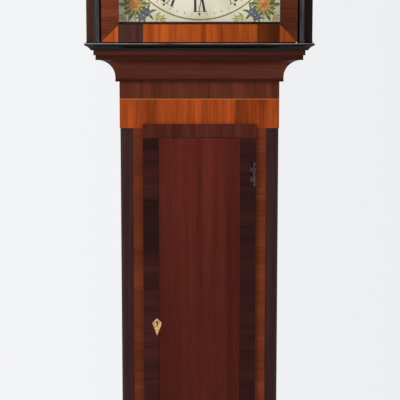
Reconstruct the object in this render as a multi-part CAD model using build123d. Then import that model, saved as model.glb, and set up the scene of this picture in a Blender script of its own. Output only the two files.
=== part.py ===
"""A mahogany longcase clock with an eight-day striking movement, in millimetres.

The clock stands on z = 0 and faces -Y, with +X to the right of someone who looks at the dial.
The origin is on the floor, in the middle of the clock's width and of its depth.
Many sizes are given as a reach: how far a face lies in front of the waist's front face.
A reach is negative behind that face, and y_at turns a reach into a Y coordinate.
"""

from build123d import *
import os
from math import asin, atan2, cos, degrees, hypot, pi, sin, sqrt

# The case's heights, from the floor up
foot_height = 88
base_top = 446
base_moulding_height = 52
waist_bottom_rail_height = 92
door_height = 840
top_rail_above_door = 50.6
stringing_height = 1.4
frieze_rail_height = 36.2
throat_height = 67.8
hood_base_height = 15.2

# The waist, which the whole case is drawn from
waist_width = 330
waist_depth = 185
side_board = 14
back_board = 12
low_screw_above_feet = 160
high_screw_below_throat = 60
corner_radius = 27
reed_count = 9
reed_depth = 1.1
stile_thickness = 20
stile_face = 20.7

# The base and its plinth
base_step = 48
base_board = 16
waist_tail = 40
plinth_step = 10
plinth_top_flat = 2
foot_length = 92
side_foot_length = 72
foot_arch = 30
foot_clearance_height = 34

# The waist door
door_lip = 9
door_lip_height = 6.2
lip_gap = 0.8
door_core = 12
door_side_gap = 2
band_width = 33
top_band_width = 29
band_thickness = 2
keyhole_from_left = 28
lock_length = 50
lock_height = 64
lock_thickness = 12
bolt_throw = 7
bolt_height = 16
bolt_thickness = 5
escutcheon_width = 20.5
escutcheon_height = 37

# The waist door's hinges
hinge_height = 50
hinge_from_end = 105
hinge_barrel_radius = 3.4
hinge_pin_radius = 1.4
hinge_leaf = 0.8
hinge_from_edge = 3
knuckle_count = 5
knuckle_gap = 0.3

# Where the throat and hood mouldings step out to, each side and in front
throat_foot_step = 8
throat_foot_height = 6
cavetto_step = 44
cavetto_top = 47.4
throat_low_step = 46
throat_mid_height = 57.4
throat_top_step = 50
hood_base_step = 67.5
hood_base_nose = 5
hood_base_inner_step = 25
hood_slide_gap = 2
hood_strip_gap = 0.4
hood_strip_height = 12

# The hood and its door
hood_half_width = 229
hood_side_board = 18
hood_stile_reach = 45
hood_stile_thickness = 20
hood_door_half_width = 197.5
hood_door_rail = 35.3
hood_door_gap = 2
hood_door_thickness = 19
hood_door_back_gap = 0.5
dial_opening = 327
mask_thickness = 12
mask_half_opening = 163.5
mask_sill = 4
glass_thickness = 2.5
glass_rebate = 5
glass_seat = 0.4
pivot_radius = 1.6
pivot_clearance = 0.08
pivot_from_edge = 2
pivot_from_front = 2.5
pivot_length = 9
knob_radius = 6

# The hood's columns
column_offset = 206
column_reach = 55.5
column_radius = 6.2
column_ring_radius = 6.9
column_ring_height = 5

# The hood's entablature and pediment
frieze_reach = 66
frieze_height = 42
frieze_inner_reach = 45
cornice_step = 30
cornice_height = 40
cornice_inset = 20
hood_top_board = 12
pediment_board = 14
neck_rise = 78
neck_width = 26
neck_projection = 24
neck_inner_x = 62
neck_side_margin = 6
patera_radius = 19
patera_ball_radius = 7
finial_block_width = 34
finial_block_height = 58
side_block_height = 24
side_block_width = 28
finial_height = 92
finial_ball_radius = 17

# The dial and hands
dial_side = 330
dial_thickness = 1.8
dial_reach = 30
minute_hand_length = 133
hour_hand_length = 92
seconds_hand_length = 25
hand_thickness = 1.2

# The movement's frame
plate_width = 152
plate_height = 185
plate_below_centre = 75
plate_thickness = 3
front_plate_reach = -8
plate_spacing = 60
pillar_radius = 5
pillar_inset = 7
dial_foot_radius = 2.6
seatboard_thickness = 18
seatboard_front_reach = -2
seatboard_back_reach = -96
arbor_radius = 1.6
journal_radius = 1.1
journal_clearance = 0.08

# The going train, from the barrel up to the escape wheel
barrel_offset_x = 36.5
barrel_offset_z = -10
barrel_radius = 25
barrel_flange_radius = 28.5
barrel_front_reach = -18
barrel_back_reach = -63
great_wheel_teeth = 96
centre_pinion_leaves = 8
centre_wheel_teeth = 60
centre_wheel_module = 0.85
third_pinion_leaves = 8
third_wheel_teeth = 56
third_wheel_module = 0.75
escape_pinion_leaves = 7
escape_wheel_teeth = 30
escape_wheel_radius = 20
pallet_above_escape = 28
wheel_thickness = 2

# The strike train
strike_wheel_teeth = 84
pin_pinion_leaves = 8
strike_wheel_module = 0.8
pin_wheel_radius = 22
pin_wheel_angle = 105
hammer_x = -56
hammer_gap = 2.5
hammer_arm = 3
hammer_head_length = 12
hammer_z = 80
bell_radius = 42
bell_wall = 3.5
bell_height = 34
bell_stud_radius = 3
bell_x = -14
bell_reach = -30
bell_above_centre = 128

# The motion work behind the dial
cannon_teeth = 36
minute_wheel_teeth = 36
minute_pinion_leaves = 6
hour_wheel_teeth = 72
cannon_module = 0.75
minute_wheel_angle = 225

# Pendulum, weights and lines
pendulum_length = 994
pendulum_reach = -112
pendulum_rod_radius = 2
bob_radius = 52
bob_thickness = 26
bob_edge = 3
weight_radius = 28
weight_height = 190
pulley_above_weight = 62
weight_floor_gap = 60
weight_reach = -60
weight_travel = 1200
pulley_radius = 20
pulley_rim = 3.5
pulley_thickness = 9
line_radius = 0.6
line_slot = 5
toggle_radius = 2.5
toggle_length = 22

# Screws through the backboard into the wall
wall_screw_radius = 2.75

# What follows from the sizes above
half_waist = waist_width / 2
foremost_reach = frieze_reach + cornice_step
back_y = (waist_depth + foremost_reach) / 2
door_bottom = base_top + base_moulding_height + waist_bottom_rail_height
door_top = door_bottom + door_height
opening_bottom = door_bottom + door_lip
opening_top = door_top - door_lip
top_rail_top = door_top + top_rail_above_door
frieze_rail_bottom = top_rail_top + stringing_height
throat_bottom = frieze_rail_bottom + frieze_rail_height
throat_top = throat_bottom + throat_height
hood_floor = throat_top + hood_base_height
column_inner = half_waist - corner_radius
half_opening = column_inner - stile_face - door_lip
half_door = half_opening + door_lip
half_core = half_opening - door_side_gap
door_face_reach = lip_gap + door_lip_height
keyhole_x = -half_door + keyhole_from_left
keyhole_z = (door_bottom + door_top) / 2
hinge_heights = (door_bottom + hinge_from_end, door_top - hinge_from_end)
back_face_reach = back_board - waist_depth
base_half = half_waist + base_step
hood_door_bottom = hood_floor + hood_door_gap
hood_door_height = dial_opening + 2 * hood_door_rail
hood_door_top = hood_door_bottom + hood_door_height
hood_head = hood_door_top + hood_door_gap
hood_door_back = hood_stile_reach + hood_door_back_gap
hood_door_front = hood_door_back + hood_door_thickness
dial_z = hood_door_bottom + hood_door_rail + dial_opening / 2
frieze_top = hood_head + frieze_height
cornice_top = frieze_top + cornice_height
back_plate_reach = front_plate_reach - plate_thickness - plate_spacing
plate_bottom = dial_z - plate_below_centre
seatboard_top = plate_bottom
seatboard_bottom = seatboard_top - seatboard_thickness
great_wheel_distance = hypot(barrel_offset_x, barrel_offset_z)
great_wheel_module = 2 * great_wheel_distance / (great_wheel_teeth + centre_pinion_leaves)
third_z = centre_wheel_module * (centre_wheel_teeth + third_pinion_leaves) / 2
escape_z = third_z + third_wheel_module * (third_wheel_teeth + escape_pinion_leaves) / 2
pallet_z = escape_z + pallet_above_escape
pin_wheel_distance = strike_wheel_module * (strike_wheel_teeth + pin_pinion_leaves) / 2
pin_wheel_x = -barrel_offset_x + pin_wheel_distance * cos(pin_wheel_angle * pi / 180)
pin_wheel_z = barrel_offset_z + pin_wheel_distance * sin(pin_wheel_angle * pi / 180)
motion_distance = cannon_module * (cannon_teeth + minute_wheel_teeth) / 2
minute_wheel_x = motion_distance * cos(minute_wheel_angle * pi / 180)
minute_wheel_z = motion_distance * sin(minute_wheel_angle * pi / 180)
line_x = barrel_offset_x + barrel_radius + line_radius
pulley_x = line_x - pulley_radius
weight_bottom = foot_height + base_board + weight_floor_gap
pulley_z = weight_bottom + weight_height + pulley_above_weight


def y_at(reach):
    """Y of a plane that lies reach in front of the waist's front face."""
    return back_y - waist_depth - reach


def block(x0, x1, reach0, reach1, z0, z1):
    """A board between two corners, given by x, reach and z."""
    centre = ((x0 + x1) / 2, y_at((reach0 + reach1) / 2), (z0 + z1) / 2)
    return Pos(*centre) * Box(abs(x1 - x0), abs(reach1 - reach0), abs(z1 - z0))


def both_sides(solid):
    """A solid on the right side of the clock and its mirror image on the left."""
    return [solid, mirror(solid, about=Plane.YZ)]


def disc(x, z, reach0, reach1, radius):
    """A round bar whose axis runs from front to back."""
    length = abs(reach1 - reach0)
    return Pos(x, y_at((reach0 + reach1) / 2), z) * Rot(90, 0, 0) * Cylinder(radius, length)


def post(x, reach, z0, z1, radius):
    """An upright round bar."""
    return Pos(x, y_at(reach), (z0 + z1) / 2) * Cylinder(radius, z1 - z0)


def outline(start, *steps):
    """A closed flat face. A step is a point, or a pair of points for an arc through the first."""
    edges, at = [], start
    for step in steps:
        if isinstance(step[0], tuple):
            edges.append(ThreePointArc(at, step[0], step[1]))
            at = step[1]
        else:
            edges.append(Line(at, step))
            at = step
    edges.append(Line(at, start))
    return make_face(edges)


def front_plane(x, reach, z):
    """A plane that faces the viewer, with its own x to the right and its own y up."""
    return Plane(origin=(x, y_at(reach), z), x_dir=(1, 0, 0), z_dir=(0, -1, 0))


def plate_from(face, x, z, reach0, reach1):
    """A flat face drawn in front view, made into a plate between two reaches."""
    low, high = sorted((reach0, reach1))
    return extrude(front_plane(x, low, z) * face, amount=high - low)


def plan_prism(points, z0, z1):
    """An upright prism over a plan given by (x, reach) points."""
    face = make_face(Polyline([(x, y_at(r)) for x, r in points], close=True))
    return extrude(Pos(0, 0, z0) * face, amount=z1 - z0)


def moulding(profile, half_width, front_reach, z, height, project, inset=0):
    """A moulding round the front and both sides, as three lengths mitred at the front corners.

    The profile is a face of (how far it stands out, how high it is) from the case's own faces,
    and reaches inset behind them.
    """
    far = project + 1
    length = 2 * (half_width + far)
    front = Plane(origin=(length / 2, y_at(front_reach), z), x_dir=(0, -1, 0), z_dir=(-1, 0, 0))
    side = Plane(origin=(half_width, back_y, z), x_dir=(1, 0, 0), z_dir=(0, -1, 0))
    depth = back_y - y_at(front_reach) + far
    inner = -inset - 1
    front_run = extrude(front * profile, amount=length)
    side_run = extrude(side * profile, amount=depth)
    corner_out = (half_width + far, front_reach + far)
    corner_in = (half_width + inner, front_reach + inner)
    back_reach = -waist_depth - 1
    front_plan = [corner_in, corner_out, (-corner_out[0], corner_out[1]), (-corner_in[0], corner_in[1])]
    side_plan = [corner_in, corner_out, (corner_out[0], back_reach), (corner_in[0], back_reach)]
    front_piece = front_run & plan_prism(front_plan, z - 1, z + height + 1)
    side_piece = side_run & plan_prism(side_plan, z - 1, z + height + 1)
    return [front_piece, *both_sides(side_piece)]


def toothed(teeth, module, phase, leaf=False):
    """The outline of a wheel's teeth, or of a pinion's slimmer leaves, with one at the phase angle.

    Each tooth is six points at three radii. The half-widths are shares of the tooth pitch.
    """
    addendum, dedendum = (0.55, 1.35) if leaf else (0.85, 1.0)
    at_pitch, at_tip, at_root = (0.15, 0.06, 0.13) if leaf else (0.20, 0.07, 0.24)
    radius, pitch = teeth * module / 2, 2 * pi / teeth
    root, tip = radius - dedendum * module, radius + addendum * module
    rings = [(root, -at_root), (radius, -at_pitch), (tip, -at_tip), (tip, at_tip)]
    rings += [(radius, at_pitch), (root, at_root)]
    points = []
    for i in range(teeth):
        for r, share in rings:
            angle = phase * pi / 180 + (i + share) * pitch
            points.append((r * cos(angle), r * sin(angle)))
    return make_face(Polyline(points, close=True))


def crossed_out(face, rim_radius, hub_radius, spokes=4, spoke=5, turn=0):
    """Cuts the spaces between a wheel's rim, hub and crossings."""
    ring = Circle(rim_radius) - Circle(hub_radius)
    for i in range(spokes):
        arm = Pos(rim_radius / 2, 0) * Rectangle(rim_radius + 2, spoke)
        ring -= Rot(0, 0, turn + i * 360 / spokes) * arm
    return face - ring


def wheel(x, z, reach, teeth, module, phase):
    """A crossed-out toothed wheel whose front face is at the given reach."""
    root = module * (teeth / 2 - 1)
    face = crossed_out(toothed(teeth, module, phase), root - 2.5, arbor_radius + 5, turn=45)
    return plate_from(face, x, z, reach - wheel_thickness, reach)


def pinion(x, z, reach0, reach1, leaves, module, phase):
    """A pinion between two reaches."""
    return plate_from(toothed(leaves, module, phase, leaf=True), x, z, reach0, reach1)


def arbor(x, z, front=front_plate_reach, back=back_plate_reach - plate_thickness):
    """An arbor between the plates, with a journal at each end that runs in its plate's hole."""
    body = disc(x, z, front_plate_reach - plate_thickness - 0.5, back_plate_reach + 0.5, arbor_radius)
    return body + disc(x, z, front, back, journal_radius)


def waist_boards():
    """Side boards that carry the seatboard, with the strips that hold the hood down."""
    board = block(half_waist - side_board, half_waist, -corner_radius, back_face_reach,
                  base_top - waist_tail, seatboard_bottom)
    strip = block(half_waist, hood_inner_x - hood_slide_gap, -corner_radius, back_face_reach,
                  hood_floor + hood_strip_gap, hood_floor + hood_strip_gap + hood_strip_height)
    return both_sides(board) + both_sides(strip)


def backboard():
    """The back: full width behind the base and the hood, narrow behind the waist, with screw holes."""
    steps = (
        (base_half, foot_height, base_top), (half_waist, base_top, throat_top),
        (half_waist + hood_base_inner_step - hood_slide_gap, throat_top, hood_floor + hood_slide_gap),
        (hood_inner_x - hood_slide_gap, hood_floor + hood_slide_gap, hood_head),
    )
    board = None
    for half, z0, z1 in steps:
        piece = block(-half, half, back_face_reach, -waist_depth, z0, z1)
        board = piece if board is None else board + piece
    for z in wall_screw_heights:
        board -= disc(0, z, back_face_reach + 1, -waist_depth - 1, wall_screw_radius)
    return [board]


def waist_frame():
    """Front stiles beside the door. The left one has the lock's mortise in its edge."""
    right = block(half_opening, column_inner, 0, -stile_thickness, opening_bottom, opening_top)
    left = mirror(right, about=Plane.YZ)
    mortise = block(-half_opening - bolt_throw - 2, -half_opening, bolt_reach + bolt_thickness / 2 + 1,
                    bolt_reach - bolt_thickness / 2 - 1,
                    keyhole_z - bolt_height / 2 - 1, keyhole_z + bolt_height / 2 + 1)
    for z in hinge_heights:
        right -= block(half_opening - 1, half_opening + hinge_leaf, 1, -stile_thickness + 8,
                       z - hinge_height / 2, z + hinge_height / 2)
    return [right, left - mortise]


def waist_rails():
    """Crossbanded rails above and below the door."""
    top = block(-half_waist, half_waist, 0, -corner_radius, opening_top, top_rail_top)
    bottom = block(-half_waist, half_waist, 0, -corner_radius,
                   base_top - waist_tail, opening_bottom)
    return [top, bottom]


def frieze_rail():
    """Plain dark rail under the throat moulding, which it backs."""
    return [block(-half_waist, half_waist, 0, -corner_radius, frieze_rail_bottom, throat_top)]


def stringing():
    """A light inlaid line between the top rail and the frieze rail."""
    return [block(-half_waist, half_waist, 0, -corner_radius, top_rail_top, frieze_rail_bottom)]


def quarter_columns():
    """Reeded quarter-round columns let into the waist's front corners."""
    centre = (column_inner, -corner_radius)
    step = 90 / reed_count
    body_radius = corner_radius - reed_depth
    edges, at = [], (centre[0] + body_radius, centre[1])
    for i in range(reed_count):
        mid_angle, end_angle = (i + 0.5) * step * pi / 180, (i + 1) * step * pi / 180
        mid = (centre[0] + corner_radius * cos(mid_angle), centre[1] + corner_radius * sin(mid_angle))
        end = (centre[0] + body_radius * cos(end_angle), centre[1] + body_radius * sin(end_angle))
        edges.append(ThreePointArc((at[0], y_at(at[1])), (mid[0], y_at(mid[1])), (end[0], y_at(end[1]))))
        at = end
    start = (centre[0] + body_radius, centre[1])
    edges.append(Line((at[0], y_at(at[1])), (centre[0], y_at(centre[1]))))
    edges.append(Line((centre[0], y_at(centre[1])), (start[0], y_at(start[1]))))
    column = extrude(Pos(0, 0, opening_bottom) * make_face(edges), amount=opening_top - opening_bottom)
    return both_sides(column)


def throat_moulding():
    """The moulding that steps out from the waist to carry the hood: a cavetto under two fillets."""
    rise = cavetto_top - throat_foot_height
    run = cavetto_step - throat_foot_step
    bend = (throat_foot_step + run * (1 - cos(pi / 4)), throat_foot_height + rise * sin(pi / 4))
    profile = outline(
        (0, 0), (throat_foot_step, 0), (throat_foot_step, throat_foot_height),
        (bend, (cavetto_step, cavetto_top)), (throat_low_step, cavetto_top),
        (throat_low_step, throat_mid_height), (throat_top_step, throat_mid_height),
        (throat_top_step, throat_height), (0, throat_height))
    return moulding(profile, half_waist, 0, throat_bottom, throat_height, throat_top_step)


def base_panel():
    """The base's front board, which its crossbanding frames."""
    return [block(-base_half, base_half, base_step, base_step - base_board, foot_height, base_top)]


def base_carcass():
    """The base's side boards, the bottom between them, and blocks that hold the waist's sides."""
    front = base_step - base_board
    inner = base_half - base_board
    side = block(inner, base_half, front, back_face_reach, foot_height, base_top)
    bottom = block(-inner, inner, front, back_face_reach, foot_height, foot_height + base_board)
    packing = block(half_waist, inner, -corner_radius, back_face_reach, base_top - waist_tail, base_top)
    return [*both_sides(side), bottom, *both_sides(packing)]


def base_moulding():
    """The moulding that carries the waist's width out to the base's."""
    top, foot, nose = throat_foot_step, base_step + 4, 7
    height = base_moulding_height
    rise, run = height - nose - 6, foot - 4 - top
    bend = (top + run * (1 - cos(pi / 4)), height - 6 - rise * sin(pi / 4))
    profile = outline(
        (0, 0), (foot, 0), (foot, nose), (foot - 4, nose),
        (bend, (top, height - 6)), (top, height), (0, height))
    return moulding(profile, half_waist, 0, base_top, height, foot)


def plinth():
    """Bracket feet cut from a front board and two side boards, with a quarter-round top edge."""
    bend = plinth_step - plinth_top_flat
    round_mid = (plinth_top_flat + bend * cos(pi / 4), foot_height + bend * sin(pi / 4))
    top = foot_height + bend
    profile = outline(
        (-base_board, 0), (plinth_step, 0), (plinth_step, foot_height),
        (round_mid, (plinth_top_flat, top)), (0, top), (0, foot_height), (-base_board, foot_height))
    front, right, left = moulding(profile, base_half, base_step, 0, top, plinth_step, base_board)
    half = base_half + plinth_step
    thickness = base_board + plinth_step
    front_plane_at_feet = front_plane(0, base_step - base_board - 1, 0)
    front_hole = extrude(front_plane_at_feet * bracket_cut(2 * half - 2 * foot_length), amount=thickness + 2)
    depth = back_y - y_at(base_step + plinth_step)
    side = Plane(origin=(0, back_y - depth / 2, 0), x_dir=(0, 1, 0), z_dir=(1, 0, 0))
    side_hole = extrude(side * bracket_cut(depth - 2 * side_foot_length), amount=half + 1, both=True)
    return [front - front_hole, right - side_hole, left - side_hole]


def bracket_cut(width):
    """The space between two bracket feet: flat on top, with a round sweep down at each end."""
    half, top = width / 2, foot_height - foot_clearance_height
    sweep = foot_arch * (1 - cos(pi / 4))
    return outline(
        (-half, -1), (half, -1), (half, top - foot_arch),
        ((half - sweep, top - sweep), (half - foot_arch, top)),
        (-half + foot_arch, top),
        ((-half + sweep, top - sweep), (-half, top - foot_arch)))


def door_board():
    """The waist door: a core in the opening and a lip that laps the frame, cut for its hinges."""
    core = block(-half_core, half_core, lip_gap, -door_core + lip_gap, opening_bottom + door_side_gap,
                 opening_top - door_side_gap)
    lip = block(-half_door, half_door, door_face_reach, lip_gap, door_bottom, door_top)
    edges = lip.faces().sort_by(Axis.Y)[0].edges()
    door = core + fillet(edges, door_lip_height * 0.55)
    for x0, x1, z0, z1 in band_spaces:
        door -= block(x0, x1, door_face_reach + 1, door_face_reach - band_thickness, z0, z1)
    for z in hinge_heights:
        door -= block(half_core - hinge_leaf, half_door + 1, door_face_reach + 1, -door_core - 1 + 6,
                      z - hinge_height / 2 - 0.5, z + hinge_height / 2 + 0.5)
    keyhole = plate_from(keyhole_shape(), keyhole_x, keyhole_z, door_face_reach + 1, -door_core)
    return [door - keyhole]


def keyhole_shape():
    """A round hole for a key's shank over a slot for its bit."""
    return Circle(2.1) + Pos(0, -4.5) * Rectangle(2.2, 9)


def door_banding():
    """Crossbanding round the door's face, let in flush: two long bands and two short ones."""
    pieces = []
    for x0, x1, z0, z1 in band_spaces:
        piece = block(x0, x1, door_face_reach, door_face_reach - band_thickness, z0, z1)
        for z in hinge_heights:
            piece -= block(half_core - hinge_leaf, half_door, door_face_reach + 1, 0,
                           z - hinge_height / 2 - 0.5, z + hinge_height / 2 + 0.5)
        keyhole = plate_from(keyhole_shape(), keyhole_x, keyhole_z, door_face_reach + 1, 0)
        pieces.append(piece - keyhole)
    return pieces


def escutcheon():
    """A bone kite inlaid round the keyhole, standing just proud of the door."""
    half, rise = escutcheon_width / 2, escutcheon_height
    kite = outline((0, 8.5), (-half, -1.5), (0, 8.5 - rise), (half, -1.5))
    plate = plate_from(kite - keyhole_shape(), keyhole_x, keyhole_z,
                       door_face_reach + 0.02, door_face_reach + 0.42)
    return [plate]


def door_lock():
    """The lock's brass case on the back of the door, open where its bolt slides."""
    back = -door_core + lip_gap
    case = block(-half_core, -half_core + lock_length, back, back - lock_thickness,
                 keyhole_z - lock_height / 2, keyhole_z + lock_height / 2)
    channel = block(-half_core - 1, -half_core + lock_length - 6, bolt_reach + bolt_thickness / 2 + 0.1,
                    bolt_reach - bolt_thickness / 2 - 0.1,
                    keyhole_z - bolt_height / 2 - 0.1, keyhole_z + bolt_height / 2 + 0.1)
    return [case - channel]


def lock_bolt():
    """The steel bolt, drawn back into the lock."""
    return [block(-half_core, -half_core + lock_length - 8 - bolt_throw,
                  bolt_reach + bolt_thickness / 2, bolt_reach - bolt_thickness / 2,
                  keyhole_z - bolt_height / 2, keyhole_z + bolt_height / 2)]


def hinge_parts(on_door):
    """One half of both hinges: a leaf in the joint beside the door, and its own knuckles.

    The frame's half has knuckles 0, 2 and 4 and the pin. The door's half has 1 and 3.
    """
    pitch = hinge_height / knuckle_count
    solids = []
    for z in hinge_heights:
        low = z - hinge_height / 2
        if on_door:
            leaf = block(half_core - hinge_leaf, half_core, hinge_reach - 1, -door_core + 6,
                         low, low + hinge_height)
        else:
            leaf = block(half_opening, half_opening + hinge_leaf, 1, -stile_thickness + 8,
                         low, low + hinge_height)
        half = leaf
        for i in range(1 if on_door else 0, knuckle_count, 2):
            z0, z1 = low + i * pitch + knuckle_gap / 2, low + (i + 1) * pitch - knuckle_gap / 2
            half += post(hinge_x, hinge_reach, z0, z1, hinge_barrel_radius)
            if on_door:
                half += block(half_core - hinge_leaf, hinge_x, hinge_reach - 1, hinge_reach - 2.4, z0, z1)
            else:
                half += block(half_opening, hinge_x, 0.3, 1.3, z0, z1)
                half += block(hinge_x - 1, hinge_x + 1, 0.3, hinge_reach, z0, z1)
        if on_door:
            half -= post(hinge_x, hinge_reach, low - 1, low + hinge_height + 1, hinge_pin_radius + 0.08)
        else:
            half += post(hinge_x, hinge_reach, low, low + hinge_height, hinge_pin_radius)
        solids.append(half)
    return solids


def hood_base_moulding():
    """The hood's ebonised base frame: a rounded nose over a hollow that runs back to the throat."""
    step, nose, height = hood_base_step - hood_base_inner_step, hood_base_nose, hood_base_height
    foot = throat_top_step + 5 - hood_base_inner_step
    profile = outline(
        (0, 0), (foot, 0), ((foot + 4, 5.5), (step - 1.2, height - nose)),
        ((step, height - nose / 2), (step - 1.2, height)), (0, height))
    return moulding(profile, half_waist + hood_base_inner_step, hood_base_inner_step,
                    throat_top, height, step)


def hood_boards():
    """The hood's side boards, and the flat board that closes its top inside the cornice."""
    side = block(hood_inner_x, hood_half_width, hood_stile_reach - hood_stile_thickness,
                 -waist_depth, hood_floor, hood_head)
    half = hood_half_width - cornice_inset
    roof = block(-half, half, frieze_reach - cornice_inset, -waist_depth,
                 cornice_top - hood_top_board, cornice_top)
    return [*both_sides(side), roof]


def hood_frame():
    """Front stiles outside the door, and the mask that frames the dial behind it."""
    stile = block(hood_door_half_width, hood_half_width, hood_stile_reach,
                  hood_stile_reach - hood_stile_thickness, hood_floor, hood_head)
    mask_back = hood_stile_reach - mask_thickness
    edge = block(mask_half_opening, hood_door_half_width, hood_stile_reach, mask_back,
                 hood_floor, hood_head)
    low = block(-mask_half_opening, mask_half_opening, hood_stile_reach, mask_back,
                hood_floor, mask_bottom)
    high = block(-mask_half_opening, mask_half_opening, hood_stile_reach, mask_back,
                 mask_top, hood_head)
    return [*both_sides(stile), *both_sides(edge), low, high]


def hood_columns():
    """Slender turned columns beside the door, with a ring turned at each end."""
    r, ring, h = column_radius, column_ring_radius, column_ring_height
    low, high = hood_floor, hood_head
    mid = (low + high) / 2
    half_profile = outline(
        (0, low), (ring, low), (ring, low + h), (r, low + h + 1.5), (r, low + 2 * h),
        (ring - 0.2, low + 2 * h + 1.5), (r - 0.4, low + 2 * h + 3),
        ((r, mid), (r - 0.6, high - 2 * h - 3)), (ring - 0.2, high - 2 * h - 1.5),
        (r, high - 2 * h), (r, high - h - 1.5), (ring, high - h), (ring, high), (0, high))
    turned = revolve(Plane.XZ * half_profile, axis=Axis.Z)
    return both_sides(Pos(column_offset, y_at(column_reach), 0) * turned)


def hood_frieze():
    """The frieze over the columns and door, on the front and both sides."""
    step = frieze_reach - frieze_inner_reach
    profile = outline((0, 0), (step, 0), (step, frieze_height), (0, frieze_height))
    pieces = moulding(profile, hood_half_width - step, frieze_inner_reach, hood_head, frieze_height, step)
    return pieces


def hood_cornice():
    """The cornice: a hollow between two fillets."""
    step, height = cornice_step, cornice_height
    low, lip = 5, 11
    rise, run = height - low - lip, step - 10
    bend = (6 + run * (1 - cos(pi / 4)), low + rise * sin(pi / 4))
    profile = outline(
        (-cornice_inset, 0), (6, 0), (6, low), (bend, (6 + run, height - lip)), (step, height - lip),
        (step, height), (-cornice_inset, height))
    return moulding(profile, hood_half_width, frieze_reach, frieze_top, height, step)


def neck_arcs():
    """The two arcs of a swan neck's centre line, from its low outer end to its high inner end."""
    outer_x = hood_half_width + cornice_step - neck_side_margin
    low = cornice_top + neck_width / 2
    run, rise = (outer_x - neck_inner_x) / 2, neck_rise / 2
    bend = 2 * atan2(rise, run)
    radius = run / sin(bend)
    return outer_x, low, radius, bend


def neck_band(inner, outer, reach0, reach1):
    """A slice of a swan neck between two offsets from its centre line, between two reaches."""
    outer_x, low, radius, bend = neck_arcs()
    centre_low = (outer_x, low + radius)
    centre_high = (neck_inner_x, low + neck_rise - radius)

    def on_low(offset, angle):
        length = radius - offset
        return (centre_low[0] - length * sin(angle), centre_low[1] - length * cos(angle))

    def on_high(offset, angle):
        length = radius + offset
        return (centre_high[0] + length * sin(angle), centre_high[1] + length * cos(angle))

    face = outline(
        on_low(inner, 0), (on_low(inner, bend / 2), on_low(inner, bend)),
        (on_high(inner, bend / 2), on_high(inner, 0)), on_high(outer, 0),
        (on_high(outer, bend / 2), on_high(outer, bend)),
        (on_low(outer, bend / 2), on_low(outer, 0)))
    return plate_from(face, 0, 0, reach0, reach1)


def swan_necks():
    """Two swan-neck mouldings, each stepped out in three bands towards its top edge."""
    half = neck_width / 2
    back = frieze_reach
    neck = neck_band(-half, -half / 3, back, back + neck_projection * 0.45)
    neck += neck_band(-half / 3, half / 2, back, back + neck_projection * 0.72)
    neck += neck_band(half / 2, half, back, back + neck_projection)
    scroll = disc(neck_inner_x, scroll_z, back, back + neck_projection, patera_radius + 5)
    return both_sides(neck + scroll)


def pediment():
    """The board behind the swan necks, with a hollow dip and a finial block in the middle."""
    outer_x, low, radius, bend = neck_arcs()
    centre_low = (outer_x, low + radius)
    centre_high = (neck_inner_x, low + neck_rise - radius)
    mid = (centre_low[0] - radius * sin(bend), centre_low[1] - radius * cos(bend))
    low_mid = (centre_low[0] - radius * sin(bend / 2), centre_low[1] - radius * cos(bend / 2))
    high_mid = (centre_high[0] + radius * sin(bend / 2), centre_high[1] + radius * cos(bend / 2))
    top = (neck_inner_x, low + neck_rise)
    dip = (finial_block_width / 2, cornice_top + finial_block_height - 12)
    face = outline(
        (0, cornice_top), (outer_x, cornice_top), (outer_x, low), (low_mid, mid), (high_mid, top),
        dip, (0, dip[1]))
    board = plate_from(face, 0, 0, frieze_reach, frieze_reach - pediment_board)
    whole = board + mirror(board, about=Plane.YZ)
    block_half = finial_block_width / 2
    middle = block(-block_half, block_half, frieze_reach + 8, frieze_reach - pediment_board - 6,
                   cornice_top, cornice_top + finial_block_height)
    half = side_block_width / 2
    side = block(side_block_x - half, side_block_x + half, side_block_reach + half, side_block_reach - half,
                 cornice_top, cornice_top + side_block_height)
    return [whole + middle, *both_sides(side)]


def ball_steps(radius, centre, below, above):
    """Two outline steps round a ball whose centre is on the axis, from one neck radius to another."""
    start = (below, centre - sqrt(radius ** 2 - below ** 2))
    end = (above, centre + sqrt(radius ** 2 - above ** 2))
    return [start, ((radius, centre), end)]


def turned_finial(base_radius):
    """A brass ball and spire, turned about its own axis and standing on z = 0."""
    neck, tip = 5, 0.8
    ball_centre = 13 + finial_ball_radius
    collar = ball_centre + finial_ball_radius
    half_profile = outline(
        (0, 0), (base_radius, 0), (base_radius, 4), (neck + 1, 7), (neck, 11),
        *ball_steps(finial_ball_radius, ball_centre, neck + 2, neck + 1),
        (neck + 3, collar + 2), (neck, collar + 5), (neck * 0.7, collar + 22), (tip, finial_height),
        (0, finial_height))
    return revolve(Plane.XZ * half_profile, axis=Axis.Z)


def turned_patera():
    """A round brass boss with a ball in the middle, turned about its own axis from z = 0."""
    rim, dish = patera_radius, patera_radius - 7
    half_profile = outline(
        (0, 0), (rim, 0), (rim, 2), (rim - 2, 3.4), (dish + 2, 3.4), (dish, 2),
        ball_steps(patera_ball_radius, 0, patera_ball_radius * 0.9, 0)[0],
        ((patera_ball_radius * 0.6, patera_ball_radius * 0.8), (0, patera_ball_radius)))
    return revolve(Plane.XZ * half_profile, axis=Axis.Z)


def hood_brasses():
    """Three finials, the two round paterae on the scrolls, and the pins that the door turns on."""
    middle = Pos(0, y_at(frieze_reach - 6), cornice_top + finial_block_height) * turned_finial(13)
    side = Pos(side_block_x, y_at(side_block_reach), cornice_top + side_block_height) * turned_finial(12)
    patera = Rot(90, 0, 0) * turned_patera()
    patera = Pos(neck_inner_x, y_at(frieze_reach + neck_projection), scroll_z) * patera
    low = post(pivot_x, pivot_reach, hood_floor, hood_door_bottom + pivot_length - 1, pivot_radius)
    high = post(pivot_x, pivot_reach, hood_door_top - pivot_length + 1, hood_head, pivot_radius)
    return [middle, *both_sides(side), *both_sides(patera), low, high]


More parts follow.
